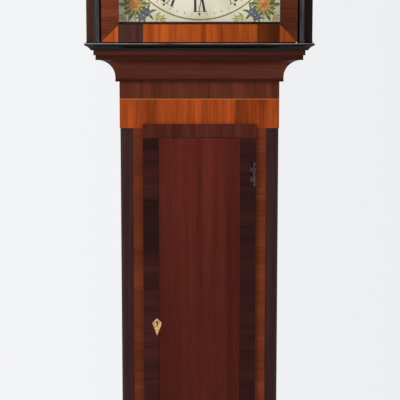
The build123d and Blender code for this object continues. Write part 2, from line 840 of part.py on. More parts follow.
def hood_door_frame():
    """Four mitred rails, rebated behind for the glass and bored for the pivots."""
    half_w, half_h = hood_door_half_width, hood_door_height / 2
    rail = hood_door_rail
    mid_z = hood_door_bottom + half_h
    frame = block(-half_w, half_w, hood_door_front, hood_door_back, hood_door_bottom, hood_door_top)
    frame -= block(-half_w + rail, half_w - rail, hood_door_front + 1, hood_door_back - 1,
                   hood_door_bottom + rail, hood_door_top - rail)
    frame -= block(-half_w + rail - glass_rebate, half_w - rail + glass_rebate,
                   glass_front_reach, hood_door_back - 1,
                   hood_door_bottom + rail - glass_rebate, hood_door_top - rail + glass_rebate)
    for z in (hood_door_bottom + pivot_length / 2, hood_door_top - pivot_length / 2):
        frame -= post(pivot_x, pivot_reach, z - pivot_length / 2 - 1, z + pivot_length / 2,
                      pivot_radius + pivot_clearance)
    frame -= post(pivot_x, pivot_reach, hood_door_top - pivot_length, hood_door_top + 1,
                  pivot_radius + pivot_clearance)
    mitre = rail + glass_rebate
    low = outline((-half_w, -half_h), (half_w, -half_h),
                  (half_w - mitre, -half_h + mitre), (-half_w + mitre, -half_h + mitre))
    high = mirror(low, about=Plane.XZ)
    cutters = [plate_from(f, 0, mid_z, hood_door_front + 1, hood_door_back - 1) for f in (low, high)]
    bottom_rail, top_rail = [frame & c for c in cutters]
    stiles = frame - cutters[0] - cutters[1]
    return [bottom_rail, top_rail, *stiles.solids()]


def hood_door_glass():
    """The pane, seated in the door's rebate."""
    half = hood_door_half_width - hood_door_rail + glass_rebate - glass_seat
    low = hood_door_bottom + hood_door_rail - glass_rebate + glass_seat
    high = hood_door_top - hood_door_rail + glass_rebate - glass_seat
    return [block(-half, half, glass_front_reach, glass_front_reach - glass_thickness, low, high)]


def hood_door_knob():
    """A small turned brass knob on the door's free stile."""
    r = knob_radius
    neck = r * 0.4
    half_profile = outline((0, 0), (r * 0.8, 0), (r * 0.8, 1.2), (neck, 2.2),
                           *ball_steps(r, 3 + r, neck, 0))
    turned = revolve(Plane.XZ * half_profile, axis=Axis.Z)
    x = -hood_door_half_width + hood_door_rail / 2
    return [Pos(x, y_at(hood_door_front), dial_z) * Rot(90, 0, 0) * turned]


def dial():
    """The square iron dial, with holes for the hands' pipes, the seconds arbor and the winding key."""
    half = dial_side / 2
    plate = block(-half, half, dial_reach, dial_reach - dial_thickness, dial_z - half, dial_z + half)
    plate -= disc(0, dial_z, dial_reach + 1, dial_reach - 5, 6)
    plate -= disc(0, dial_z + escape_z, dial_reach + 1, dial_reach - 5, 2)
    for x in (-barrel_offset_x, barrel_offset_x):
        plate -= disc(x, dial_z + barrel_offset_z, dial_reach + 1, dial_reach - 5, 6)
    return [plate]


def movement_frame():
    """The brass plates, bored for every journal, their four pillars and the dial's four feet."""
    z0, z1 = plate_bottom, plate_bottom + plate_height
    solids = []
    for reach in (front_plate_reach, back_plate_reach):
        plate = block(-plate_width / 2, plate_width / 2, reach, reach - plate_thickness, z0, z1)
        for x, z in arbor_places:
            plate -= disc(x, dial_z + z, reach + 1, reach - plate_thickness - 1,
                          journal_radius + journal_clearance)
        solids.append(plate)
    x = plate_width / 2 - pillar_inset
    front, back = front_plate_reach - plate_thickness, back_plate_reach
    middle = (front + back) / 2
    for z in (z0 + pillar_inset, z1 - pillar_inset):
        pillar = disc(x, z, front, back, pillar_radius)
        for reach in (front - 2, middle, back + 2):
            pillar += disc(x, z, reach - 2, reach + 2, pillar_radius + 2)
        foot = disc(x, z, front_plate_reach, dial_reach - dial_thickness, dial_foot_radius)
        solids += both_sides(pillar) + both_sides(foot)
    return solids


def rear_brackets():
    """The cock that carries the pendulum, and the stand that carries the bell."""
    back = back_plate_reach - plate_thickness
    z = dial_z + pallet_z
    bridge = pendulum_reach + 9
    cock = block(-26, 26, bridge, bridge - 3, z - 8, z + 16)
    for x in (-26, 20):
        cock += block(x, x + 6, back, bridge, z - 8, z + 8)
    cock += block(-7, 7, bridge, pendulum_reach - 8, z + 5, z + 12)
    cock -= block(-0.9, 0.9, pendulum_reach + 4.6, pendulum_reach - 9, z - 9, z + 13)
    cock -= disc(0, z, bridge + 1, bridge - 4, journal_radius + journal_clearance)
    top = dial_z + bell_above_centre + bell_height
    arm_z = plate_bottom + plate_height - 30
    stand = block(bell_x - 4, bell_x + 4, back, back - 4, arm_z, top + 4)
    stand += block(bell_x - 4, bell_x + 4, back, bell_reach - 5, top, top + 4)
    stand += post(bell_x, bell_reach, top - bell_wall - 4, top + 4, bell_stud_radius)
    return [cock, stand]


def bell():
    """A cast bell, hollow below, hung on its stand."""
    crown = bell_stud_radius + 7
    half_profile = outline(
        (bell_stud_radius, bell_height), (crown, bell_height), *bell_curve(crown, bell_radius, bell_height),
        (bell_radius - bell_wall, 0),
        *bell_curve(crown, bell_radius - bell_wall, bell_height - bell_wall, upward=True),
        (bell_stud_radius, bell_height - bell_wall))
    turned = revolve(Plane.XZ * half_profile, axis=Axis.Z)
    return [Pos(bell_x, y_at(bell_reach), dial_z + bell_above_centre) * turned]


def bell_curve(crown, rim, height, upward=False):
    """One arc of the bell's side, flat where it meets the crown, drawn down to the rim or up from it."""
    run = rim - crown
    radius = (run ** 2 + height ** 2) / (2 * height)
    turn = asin(run / radius) / 2
    mid = (crown + radius * sin(turn), height - radius * (1 - cos(turn)))
    return [(mid, (crown, height) if upward else (rim, 0))]


def seatboard():
    """The board that the movement stands on, slotted for the lines."""
    board = block(-half_waist, half_waist, seatboard_front_reach, seatboard_back_reach,
                  seatboard_bottom, seatboard_top)
    for x in (line_x, line_x - 2 * pulley_radius):
        for side in (1, -1):
            board -= block(side * x - line_slot, side * x + line_slot, weight_reach + line_slot,
                           weight_reach - line_slot, seatboard_bottom - 1, seatboard_top + 1)
    return [board]


def centre_wheels():
    """The centre arbor with its pinion and wheel, and the cannon wheel and pipe in front."""
    z = dial_z
    toward = degrees(atan2(barrel_offset_z, barrel_offset_x))
    solid = arbor(0, z, front=pipe_front)
    half_leaf = 180 / centre_pinion_leaves
    solid += pinion(0, z, great_wheel_reach + 1, great_wheel_reach - wheel_thickness - 1,
                    centre_pinion_leaves, great_wheel_module, toward + half_leaf)
    solid += wheel(0, z, centre_wheel_reach, centre_wheel_teeth, centre_wheel_module, 90)
    solid += disc(0, z, front_plate_reach + 1, pipe_front, pipe_radius)
    solid += wheel(0, z, motion_reach, cannon_teeth, cannon_module, minute_wheel_angle)
    return [solid]


def third_wheel():
    """The third wheel and its pinion."""
    z = dial_z + third_z
    solid = arbor(0, z)
    solid += pinion(0, z, centre_wheel_reach + 0.4, centre_wheel_reach - wheel_thickness - 2,
                    third_pinion_leaves, centre_wheel_module, -90 + 180 / third_pinion_leaves)
    solid += wheel(0, z, third_wheel_reach, third_wheel_teeth, third_wheel_module, 90)
    return [solid]


def escape_wheel():
    """The escape wheel and its pinion, on the arbor that carries the seconds hand."""
    z = dial_z + escape_z
    solid = arbor(0, z, front=dial_reach + 1.5)
    solid += pinion(0, z, third_wheel_reach + 1, third_wheel_reach - wheel_thickness - 1,
                    escape_pinion_leaves, third_wheel_module, -90 + 180 / escape_pinion_leaves)
    root, tip = escape_wheel_radius - 5, escape_wheel_radius
    pitch = 2 * pi / escape_wheel_teeth
    points = []
    for i in range(escape_wheel_teeth):
        a = pi / 2 + (i + 0.5) * pitch
        points.append((tip * cos(a), tip * sin(a)))
        points.append((root * cos(a + 0.12 * pitch), root * sin(a + 0.12 * pitch)))
        points.append((root * cos(a + 0.62 * pitch), root * sin(a + 0.62 * pitch)))
    face = crossed_out(make_face(Polyline(points, close=True)), root - 2, arbor_radius + 4, turn=45)
    solid += plate_from(face, 0, z, escape_wheel_reach, escape_wheel_reach - wheel_thickness)
    return [solid]


def great_wheel(side, teeth, module, toward_x, toward_z):
    """A great wheel, loose on its barrel's arbor, with one tooth towards the pinion it drives."""
    x, z = side * barrel_offset_x, dial_z + barrel_offset_z
    phase = degrees(atan2(toward_z - barrel_offset_z, toward_x - x))
    root = module * (teeth / 2 - 1)
    face = crossed_out(toothed(teeth, module, phase), root - 3, 12, turn=45)
    solid = plate_from(face, x, z, great_wheel_reach, great_wheel_reach - wheel_thickness)
    return [solid - disc(x, z, great_wheel_reach + 1, great_wheel_reach - wheel_thickness - 1,
                         arbor_radius + journal_clearance)]


def barrel(side):
    """A barrel between two flanges, on an arbor that ends in a winding square behind the dial."""
    x, z = side * barrel_offset_x, dial_z + barrel_offset_z
    solid = arbor(x, z, front=front_plate_reach + 1)
    solid += disc(x, z, barrel_front_reach, barrel_back_reach, barrel_radius)
    for reach in (barrel_front_reach, barrel_back_reach + 1.5):
        solid += disc(x, z, reach, reach - 1.5, barrel_flange_radius)
    square = Rectangle(2 * journal_radius + 1.6, 2 * journal_radius + 1.6)
    solid += plate_from(square, x, z, front_plate_reach + 0.5, dial_reach - 4)
    return [solid]


def pin_wheel():
    """The strike's pin wheel, with eight pins on its face that lift the hammer."""
    x, z = pin_wheel_x, dial_z + pin_wheel_z
    toward = degrees(atan2(barrel_offset_z - pin_wheel_z, -barrel_offset_x - pin_wheel_x))
    solid = arbor(x, z)
    solid += pinion(x, z, great_wheel_reach + 1, great_wheel_reach - wheel_thickness - 1,
                    pin_pinion_leaves, strike_wheel_module, toward + 180 / pin_pinion_leaves)
    face = crossed_out(Circle(pin_wheel_radius), pin_wheel_radius - 4, arbor_radius + 5, turn=45)
    solid += plate_from(face, x, z, centre_wheel_reach, centre_wheel_reach - wheel_thickness)
    for i in range(8):
        a = i * pi / 4
        r = pin_wheel_radius - 2
        solid += disc(x + r * cos(a), z + r * sin(a), centre_wheel_reach - wheel_thickness,
                      centre_wheel_reach - wheel_thickness - 2, 0.8)
    return [solid]


def anchor():
    """The recoil anchor on its arbor, with the crutch that reaches down to the pendulum rod."""
    z = dial_z + pallet_z
    solid = disc(0, z, front_plate_reach - plate_thickness - 0.5, back_plate_reach + 0.5, arbor_radius)
    solid += disc(0, z, front_plate_reach, pendulum_reach + 7, journal_radius)
    span, drop = 17, pallet_above_escape - 13.2
    arms = outline((-5, 5), (5, 5), (span + 3, -drop + 7), (span + 1.5, -drop - 0.5), (span - 2.5, -drop + 3),
                   (span - 4, -drop + 8), (0, -4), (-span + 4, -drop + 8), (-span + 2.5, -drop + 3),
                   (-span - 1.5, -drop - 0.5), (-span - 3, -drop + 7))
    solid += plate_from(arms, 0, z, escape_wheel_reach + 0.5, escape_wheel_reach - wheel_thickness - 0.5)
    crutch = back_plate_reach - plate_thickness - 16
    solid += block(-1.6, 1.6, crutch, crutch - 2.4, z - crutch_length, z)
    solid += disc(0, z, crutch + 2, crutch - 4, arbor_radius + 1.6)
    inner = pendulum_rod_radius + 0.25
    for side in (1, -1):
        solid += block(side * inner, side * (inner + 1.6), crutch, pendulum_reach - 4,
                       z - crutch_length - 3, z - crutch_length + 1.6)
    solid += block(-inner - 1.6, inner + 1.6, crutch, crutch - 2.4,
                   z - crutch_length - 3, z - crutch_length + 1.6)
    return [solid]


def pendulum_rod():
    """Suspension spring, rod and rating nut, hung from the cock's slot."""
    z = dial_z + pallet_z
    end = z - pendulum_length - bob_radius - 34
    solid = block(-0.25, 0.25, pendulum_reach + 4, pendulum_reach - 4, z - 30, z + 9)
    solid += block(-3, 3, pendulum_reach + 5, pendulum_reach - 5, z - 42, z - 26)
    solid += post(0, pendulum_reach, end, z - 34, pendulum_rod_radius)
    solid += post(0, pendulum_reach, end + 12, end + 20, 8)
    return [solid]


def pendulum_bob():
    """A lens-shaped brass-faced bob, bored for the rod."""
    z = dial_z + pallet_z - pendulum_length
    r, half, edge = bob_radius, bob_thickness / 2, bob_edge / 2
    bulge = half - edge
    curve = (r ** 2 + bulge ** 2) / (2 * bulge)
    turn = asin(r / curve) / 2
    mid = (curve * sin(turn), half - curve * (1 - cos(turn)))
    half_profile = outline((0, -half), ((mid[0], -mid[1]), (r, -edge)), (r, edge), (mid, (0, half)))
    lens = Pos(0, y_at(pendulum_reach), z) * Rot(90, 0, 0) * revolve(Plane.XZ * half_profile, axis=Axis.Z)
    return [lens - post(0, pendulum_reach, z - r - 5, z + r + 5, pendulum_rod_radius + 0.2)]


def hammer():
    """The strike's hammer: an arbor between the plates, an arm up to the bell and a tail to the pins."""
    x, z = hammer_x, dial_z + hammer_z
    solid = arbor(x, z)
    head_z = dial_z + bell_above_centre + 7
    lean = bell_x - bell_radius - hammer_gap - hammer_head_length / 2 - x
    half = hammer_arm / 2
    shape = outline((-half, 0), (half, 0), (lean + half, head_z - z), (lean - half, head_z - z))
    solid += plate_from(shape, x, z, bell_reach - half, bell_reach + half)
    head = Pos(x + lean, y_at(bell_reach), head_z) * Rot(0, 90, 0) * Cylinder(5, hammer_head_length)
    tail = block(x - half, x + half, hammer_tail_reach, hammer_tail_reach - hammer_arm,
                 dial_z + pin_wheel_z + pin_wheel_radius + 2, z)
    return [solid + head + tail]


def weight(side):
    """A cast-iron weight with its hook, and the iron stirrup that holds the pulley."""
    x, z0, z1 = side * pulley_x, weight_bottom, weight_bottom + weight_height
    body = post(x, weight_reach, z0, z1, weight_radius)
    body = fillet(body.edges().filter_by(GeomType.CIRCLE), 3)
    body += post(x, weight_reach, z1, z1 + 14, 3)
    strap = pulley_thickness / 2 + 2
    stirrup = block(x - 5, x + 5, weight_reach - strap, weight_reach + strap, z1 + 14, z1 + 18)
    for side_reach in (-1, 1):
        near, far = side_reach * (strap - 1.5), side_reach * strap
        stirrup += block(x - 5, x + 5, weight_reach + near, weight_reach + far, z1 + 14, pulley_z + 6)
    stirrup += disc(x, pulley_z, weight_reach + strap, weight_reach - strap, 1.8)
    return [body + stirrup, line_turn(side)]


def pulley(side):
    """A brass pulley, grooved for the line."""
    half, r, rim = pulley_thickness / 2 - 0.8, pulley_radius, pulley_rim
    half_profile = outline((1.9, -half), (r + rim, -half), (r - line_radius, -line_radius),
                           (r - line_radius, line_radius), (r + rim, half), (1.9, half))
    turned = revolve(Plane.XZ * half_profile, axis=Axis.Z)
    return [Pos(side * pulley_x, y_at(weight_reach), pulley_z) * Rot(90, 0, 0) * turned]


def gut_line(side):
    """The two falls of a weight's gut line, which shorten as the weight is wound up."""
    falls = []
    for x in (line_x, line_x - 2 * pulley_radius):
        falls.append(post(side * x, weight_reach, pulley_z, seatboard_bottom, line_radius))
    return falls


def line_ends():
    """What doesn't move of both lines: from the barrel down, and up to a toggle on the seatboard."""
    solids = []
    for side in (1, -1):
        solids.append(post(side * line_x, weight_reach, seatboard_bottom, dial_z + barrel_offset_z,
                           line_radius))
        x = side * (line_x - 2 * pulley_radius)
        end = post(x, weight_reach, seatboard_bottom, seatboard_top + 1, line_radius)
        toggle = Pos(x, y_at(weight_reach), seatboard_top + toggle_radius)
        solids.append(end + toggle * Rot(90, 0, 0) * Cylinder(toggle_radius, toggle_length))
    return solids


def line_turn(side):
    """The half turn of the line in a pulley's groove, which goes up with the weight."""
    x, y = side * pulley_x, y_at(weight_reach)
    path = ThreePointArc((x + pulley_radius, y, pulley_z), (x, y, pulley_z - pulley_radius),
                         (x - pulley_radius, y, pulley_z))
    section = Plane(origin=(x + pulley_radius, y, pulley_z), z_dir=(0, 0, 1)) * Circle(line_radius)
    return sweep(section, path=path)


def hand(length, tail, width, root_radius, reach, tip=0.6):
    """A straight tapering hand with a round boss, a tail and a pierced diamond near its tip."""
    heart = length * 0.66
    blade = outline(
        (-width / 2, 0), (-width * 0.32, heart - 12), (-width * 1.05, heart), (-width * 0.3, heart + 12),
        (-tip / 2, length), (tip / 2, length), (width * 0.3, heart + 12), (width * 1.05, heart),
        (width * 0.32, heart - 12), (width / 2, 0), (width * 0.3, -tail), (-width * 0.3, -tail))
    pierced = outline((0, heart - 7), (width * 0.5, heart), (0, heart + 7), (-width * 0.5, heart))
    face = blade + Circle(root_radius) - pierced
    return plate_from(face, 0, 0, reach, reach + hand_thickness)


def minute_hand():
    """The long hand, set to the hour, on the square end of the cannon pipe."""
    solid = Pos(0, 0, dial_z) * hand(minute_hand_length, 24, 7, 7, pipe_front)
    return [solid + disc(0, dial_z, pipe_front + hand_thickness, pipe_front + hand_thickness + 2, 3.4)]


def hour_hand():
    """The short hand, which points straight up at rest, on the hour pipe."""
    return [Pos(0, 0, dial_z) * hand(hour_hand_length, 6, 8.5, 8.5, hour_hand_reach)
            - disc(0, dial_z, hour_hand_reach - 1, hour_hand_reach + 3, pipe_radius + 0.35)]


def hour_wheel():
    """The hour wheel and the pipe that turns outside the cannon pipe."""
    module = 2 * motion_distance / (hour_wheel_teeth + minute_pinion_leaves)
    solid = wheel(0, dial_z, hour_wheel_reach, hour_wheel_teeth, module, minute_wheel_angle)
    solid += disc(0, dial_z, hour_wheel_reach - wheel_thickness, hour_hand_reach, pipe_radius + 1.5)
    return [solid - disc(0, dial_z, motion_reach, hour_hand_reach + 1, pipe_radius + 0.35)]


def minute_wheel():
    """The minute wheel and its pinion, on a stud in the front plate."""
    x, z = minute_wheel_x, dial_z + minute_wheel_z
    module = 2 * motion_distance / (hour_wheel_teeth + minute_pinion_leaves)
    back = minute_wheel_angle + 180
    solid = wheel(x, z, motion_reach, minute_wheel_teeth, cannon_module, back + 180 / minute_wheel_teeth)
    solid += pinion(x, z, motion_reach, hour_wheel_reach + 1, minute_pinion_leaves, module,
                    back + 180 / minute_pinion_leaves)
    solid += disc(x, z, motion_reach - wheel_thickness, front_plate_reach - plate_thickness, journal_radius)
    return [solid]


def seconds_hand():
    """The small seconds hand on the end of the escape arbor."""
    z = dial_z + escape_z
    shape = outline((-1.2, -8), (-0.3, seconds_hand_length), (0.3, seconds_hand_length), (1.2, -8))
    shape = shape + Circle(2.6)
    return [plate_from(shape, 0, z, dial_reach + 1.5, dial_reach + 2.1)]


# Sizes that several pieces share
hood_inner_x = hood_half_width - hood_side_board
wall_screw_heights = (foot_height + low_screw_above_feet, throat_bottom - high_screw_below_throat)
bolt_reach = -door_core + lip_gap - lock_thickness / 2
hinge_x = half_door - hinge_from_edge
hinge_reach = door_face_reach + 0.6
field_top = door_top - top_band_width
field_bottom = door_bottom + top_band_width
field_half = half_door - band_width
band_spaces = (
    (-half_door, half_door, field_top, door_top),
    (-half_door, half_door, door_bottom, field_bottom),
    (-half_door, -field_half, field_bottom, field_top),
    (field_half, half_door, field_bottom, field_top),
)
mask_bottom = dial_z - dial_opening / 2 + mask_sill
mask_top = dial_z + dial_opening / 2
pivot_x = hood_door_half_width - pivot_from_edge
pivot_reach = hood_door_front - pivot_from_front
glass_front_reach = hood_door_back + 11
scroll_z = cornice_top + neck_width / 2 + neck_rise + neck_width / 2 - patera_radius - 5
side_block_x = hood_half_width - 16
side_block_reach = frieze_reach - pediment_board - side_block_width / 2
crutch_length = 122
pipe_radius = 3
motion_reach = front_plate_reach + 5
hour_wheel_reach = motion_reach + 6
hour_hand_reach = dial_reach + 4
pipe_front = hour_hand_reach + hand_thickness + 1.8
great_wheel_reach = barrel_back_reach - 1.5
centre_wheel_reach = front_plate_reach - plate_thickness - 1.5
third_wheel_reach = -38
escape_wheel_reach = -50
hammer_tail_reach = centre_wheel_reach - wheel_thickness - 3
arbor_places = [
    (0, 0), (0, third_z), (0, escape_z), (0, pallet_z), (barrel_offset_x, barrel_offset_z),
    (-barrel_offset_x, barrel_offset_z), (pin_wheel_x, pin_wheel_z), (hammer_x, hammer_z),
    (minute_wheel_x, minute_wheel_z),
]

parts = {
    "backboard": backboard(),
    "waist_sides": waist_boards(),
    "waist_stiles": waist_frame(),
    "waist_rails": waist_rails(),
    "frieze_rail": frieze_rail(),
    "frieze_stringing": stringing(),
    "quarter_columns": quarter_columns(),
    "throat_moulding": throat_moulding(),
    "base_panel": base_panel(),
    "base_carcass": base_carcass(),
    "base_moulding": base_moulding(),
    "plinth": plinth(),
    "door_board": door_board(),
    "door_banding": door_banding(),
    "door_escutcheon": escutcheon(),
    "door_lock": door_lock(),
    "lock_bolt": lock_bolt(),
    "frame_hinge_leaves": hinge_parts(on_door=False),
    "door_hinge_leaves": hinge_parts(on_door=True),
    "hood_base_moulding": hood_base_moulding(),
    "hood_boards": hood_boards(),
    "hood_frame": hood_frame(),
    "hood_columns": hood_columns(),
    "hood_frieze": hood_frieze(),
    "hood_cornice": hood_cornice(),
    "swan_necks": swan_necks(),
    "pediment": pediment(),
    "hood_brasses": hood_brasses(),
    "hood_door_frame": hood_door_frame(),
    "hood_door_glass": hood_door_glass(),
    "hood_door_knob": hood_door_knob(),
    "dial": dial(),
    "movement_frame": movement_frame(),
    "rear_brackets": rear_brackets(),
    "bell": bell(),
    "seatboard": seatboard(),
    "centre_wheels": centre_wheels(),
    "minute_hand": minute_hand(),
    "hour_hand": hour_hand(),
    "hour_wheel": hour_wheel(),
    "minute_wheel": minute_wheel(),
    "third_wheel": third_wheel(),
    "escape_wheel": escape_wheel(),
    "seconds_hand": seconds_hand(),
    "going_great_wheel": great_wheel(1, great_wheel_teeth, great_wheel_module, 0, 0),
    "going_barrel": barrel(1),
    "strike_great_wheel": great_wheel(-1, strike_wheel_teeth, strike_wheel_module, pin_wheel_x, pin_wheel_z),
    "strike_barrel": barrel(-1),
    "pin_wheel": pin_wheel(),
    "hammer": hammer(),
    "anchor": anchor(),
    "pendulum_rod": pendulum_rod(),
    "pendulum_bob": pendulum_bob(),
    "going_weight": weight(1),
    "strike_weight": weight(-1),
    "going_pulley": pulley(1),
    "strike_pulley": pulley(-1),
    "going_line": gut_line(1),
    "strike_line": gut_line(-1),
    "line_ends": line_ends(),
}

os.makedirs("parts", exist_ok=True)
for name, solids in parts.items():
    pieces = [s for shape in solids for s in shape.solids()]
    export_step(Compound(children=pieces), f"parts/{name}.step")
    print(name, len(pieces))
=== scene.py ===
"""A mahogany longcase clock, dressed on its CAD frame and seen from a little above the dial's foot."""

from math import cos, pi, radians, sin

import bpy
import numpy as np
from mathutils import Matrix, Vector


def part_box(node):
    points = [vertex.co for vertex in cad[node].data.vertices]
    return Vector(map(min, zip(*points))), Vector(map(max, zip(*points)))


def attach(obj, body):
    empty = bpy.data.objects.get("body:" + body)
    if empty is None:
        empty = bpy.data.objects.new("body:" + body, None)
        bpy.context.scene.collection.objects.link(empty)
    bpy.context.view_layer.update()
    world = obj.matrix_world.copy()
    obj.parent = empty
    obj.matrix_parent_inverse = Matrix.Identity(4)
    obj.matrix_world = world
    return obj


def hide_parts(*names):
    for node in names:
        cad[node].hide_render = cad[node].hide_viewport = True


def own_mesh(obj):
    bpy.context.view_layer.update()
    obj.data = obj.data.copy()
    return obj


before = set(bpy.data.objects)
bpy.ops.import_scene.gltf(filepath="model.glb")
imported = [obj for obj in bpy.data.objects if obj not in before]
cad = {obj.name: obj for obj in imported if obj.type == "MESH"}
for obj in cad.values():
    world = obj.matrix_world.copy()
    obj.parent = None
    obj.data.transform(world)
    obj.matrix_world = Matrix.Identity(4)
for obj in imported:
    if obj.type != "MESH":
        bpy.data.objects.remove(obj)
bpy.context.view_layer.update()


# The camera and the room
# A long lens stands three and a half metres off at eye level and looks a little down.
# The wall and floor are plain and pale. Three big soft lamps and a weak room light the wood.
waist_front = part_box("waist_stiles")[0].y
camera_distance, camera_height, camera_dip = 3.431, 1.838, 9.4
camera_data = bpy.data.cameras.new("camera")
camera_data.lens = 150
camera_data.sensor_width = 36
camera = bpy.data.objects.new("camera", camera_data)
camera.location = (0.0012, waist_front - camera_distance, camera_height)
camera.rotation_euler = (radians(90 - camera_dip), 0, 0)
bpy.context.scene.collection.objects.link(camera)
bpy.context.scene.camera = camera
bpy.context.scene.view_settings.view_transform = "Standard"


def fill(tree, node, values):
    """Sets a node's inputs, each to a plain value or to another node's output."""
    for name, value in values.items():
        if isinstance(value, bpy.types.NodeSocket):
            tree.links.new(value, node.inputs[name])
        else:
            node.inputs[name].default_value = value


def add_node(tree, kind, values):
    """A new shader node with its inputs filled."""
    node = tree.nodes.new("ShaderNode" + kind)
    fill(tree, node, values)
    return node


def worked_out(tree, operation, *values):
    """One step of arithmetic on plain numbers and other nodes' outputs."""
    step = tree.nodes.new("ShaderNodeMath")
    step.operation = operation
    fill(tree, step, dict(enumerate(values)))
    return step.outputs[0]


def rescaled(tree, value, low=0.0, high=1.0, to_low=0.0, to_high=1.0):
    """A value carried from the range low to high over to the range to_low to to_high."""
    span = add_node(tree, "MapRange", {
        "Value": value, "From Min": low, "From Max": high, "To Min": to_low, "To Max": to_high})
    return span.outputs["Result"]


def two_tone(tree, share, dark, light, low=0.0, high=1.0):
    """A colour that goes from dark to light while share goes from low to high."""
    ramp = add_node(tree, "ValToRGB", {"Fac": share})
    for stop, spot, tone in zip(ramp.color_ramp.elements, (low, high), (dark, light)):
        stop.position = spot
        stop.color = (*tone, 1)
    return ramp.outputs["Color"]


def material_with(name):
    """A new material, its node tree and the one surface shader in it."""
    material = bpy.data.materials.new(name)
    material.use_nodes = True
    tree = material.node_tree
    tree.nodes.clear()
    surface = tree.nodes.new("ShaderNodeBsdfPrincipled")
    add_node(tree, "OutputMaterial", {"Surface": surface.outputs[0]})
    return material, tree, surface


def mesh_piece(name, points, faces):
    """A mesh made of points and faces, linked into the scene."""
    mesh = bpy.data.meshes.new(name)
    mesh.from_pydata(points, [], faces)
    mesh.update()
    piece = bpy.data.objects.new(name, mesh)
    bpy.context.scene.collection.objects.link(piece)
    return piece


def grid_quads(index):
    """The quads between neighbours in a grid of point numbers."""
    quads = np.stack((index[:-1, :-1], index[:-1, 1:], index[1:, 1:], index[1:, :-1]), axis=-1)
    return quads.reshape(-1, 4).tolist()


def grid_mesh(name, points, closed=False):
    """A mesh over a grid of points. When closed, the last row and column join the first ones."""
    index = np.arange(points.shape[0] * points.shape[1]).reshape(points.shape[:2])
    if closed:
        index = np.pad(index, (0, 1), mode="wrap")
    return mesh_piece(name, points.reshape(-1, 3).tolist(), grid_quads(index))


def seen_share(tree):
    """1 for rays straight to the camera or by way of a mirror or a pane, and 0 for all others."""
    rays = tree.nodes.new("ShaderNodeLightPath").outputs
    by_way = worked_out(tree, "MAXIMUM", rays["Is Glossy Ray"], rays["Is Transmission Ray"])
    return worked_out(tree, "MAXIMUM", rays["Is Camera Ray"], by_way)


pale_wall = (0.895, 0.895, 0.915, 1)
floor_reach, floor_drop, floor_glow = 2.6, 0.0005, 0.16
corners = np.array([[[-1, -1, 0], [1, -1, 0]], [[-1, 1, 0], [1, 1, 0]]], float)
floor = grid_mesh("floor", corners * (floor_reach, floor_reach, 1) - (0, 0, floor_drop))
floor_paint, tree, surface = material_with("floor_paint")
fill(tree, surface, {
    "Base Color": pale_wall, "Roughness": 0.9, "Specular IOR Level": 0.1, "Emission Color": pale_wall,
    "Emission Strength": worked_out(tree, "MULTIPLY", seen_share(tree), floor_glow)})
floor.data.materials.append(floor_paint)

world = bpy.data.worlds.new("room")
bpy.context.scene.world = world
world.use_nodes = True
tree = world.node_tree
tree.nodes.clear()
bearing = tree.nodes.new("ShaderNodeTexCoord").outputs["Generated"]
sideways = add_node(tree, "SeparateXYZ", {"Vector": bearing}).outputs["X"]
# Painted light: the wall seen behind the clock is a little brighter at the left, towards the window lamp,
# than at the right.
wall_left, wall_right = (0.903, 0.905, 0.921), (0.850, 0.854, 0.871)
seen = add_node(tree, "Background", {
    "Color": two_tone(tree, rescaled(tree, sideways, -0.12, 0.12), wall_left, wall_right)})
lit = add_node(tree, "Background", {"Color": (0.95, 0.97, 1.0, 1), "Strength": 0.36})
either = add_node(tree, "MixShader", {0: seen_share(tree), 1: lit.outputs[0], 2: seen.outputs[0]})
add_node(tree, "OutputWorld", {"Surface": either.outputs[0]})


def soft_lamp(name, place, aim, width, height, watts):
    """A rectangular lamp at a place, turned to shine at a point."""
    data = bpy.data.lights.new(name, "AREA")
    data.shape = "RECTANGLE"
    data.size = width
    data.size_y = height
    data.energy = watts
    lamp = bpy.data.objects.new(name, data)
    lamp.location = place
    lamp.rotation_euler = (Vector(aim) - Vector(place)).to_track_quat("-Z", "Y").to_euler()
    bpy.context.scene.collection.objects.link(lamp)


soft_lamp("window_left", (-2.6, -2.6, 2.6), (0, 0, 1.45), 1.4, 2.2, 96)
soft_lamp("fill_right", (2.8, -2.4, 2.2), (0, 0, 1.4), 1.2, 2.0, 30)
soft_lamp("over_head", (0.0, -1.6, 3.8), (0, 0, 1.6), 2.0, 1.0, 24)


# The waist and the hood's boards
# Mahogany over oak, french polished. Fibres and a broad figure run along each board, and the
# veneers at the front are cut across the grain, so that their streaks run towards the edge.
along_grain = 0.035
fibre_weight, figure_weight = 0.45, 0.75


def object_axis(tree, axis):
    """Where the shaded point lies along one axis of the clock, in metres."""
    place = tree.nodes.new("ShaderNodeTexCoord")
    return add_node(tree, "SeparateXYZ", {"Vector": place.outputs["Object"]}).outputs[axis]


def mixed(tree, share, first, second, blend="MIX"):
    """The first colour, with the second one blended in as share goes from 0 to 1."""
    mix = tree.nodes.new("ShaderNodeMix")
    mix.data_type = "RGBA"
    mix.blend_type = blend
    fill(tree, mix, {"Factor": share, "A": first, "B": second})
    return mix.outputs["Result"]


def felt_relief(tree, height, strength, distance):
    """The normal of a surface on which a noise's height can just be felt."""
    bump = add_node(tree, "Bump", {"Strength": strength, "Distance": distance, "Height": height})
    return bump.outputs["Normal"]


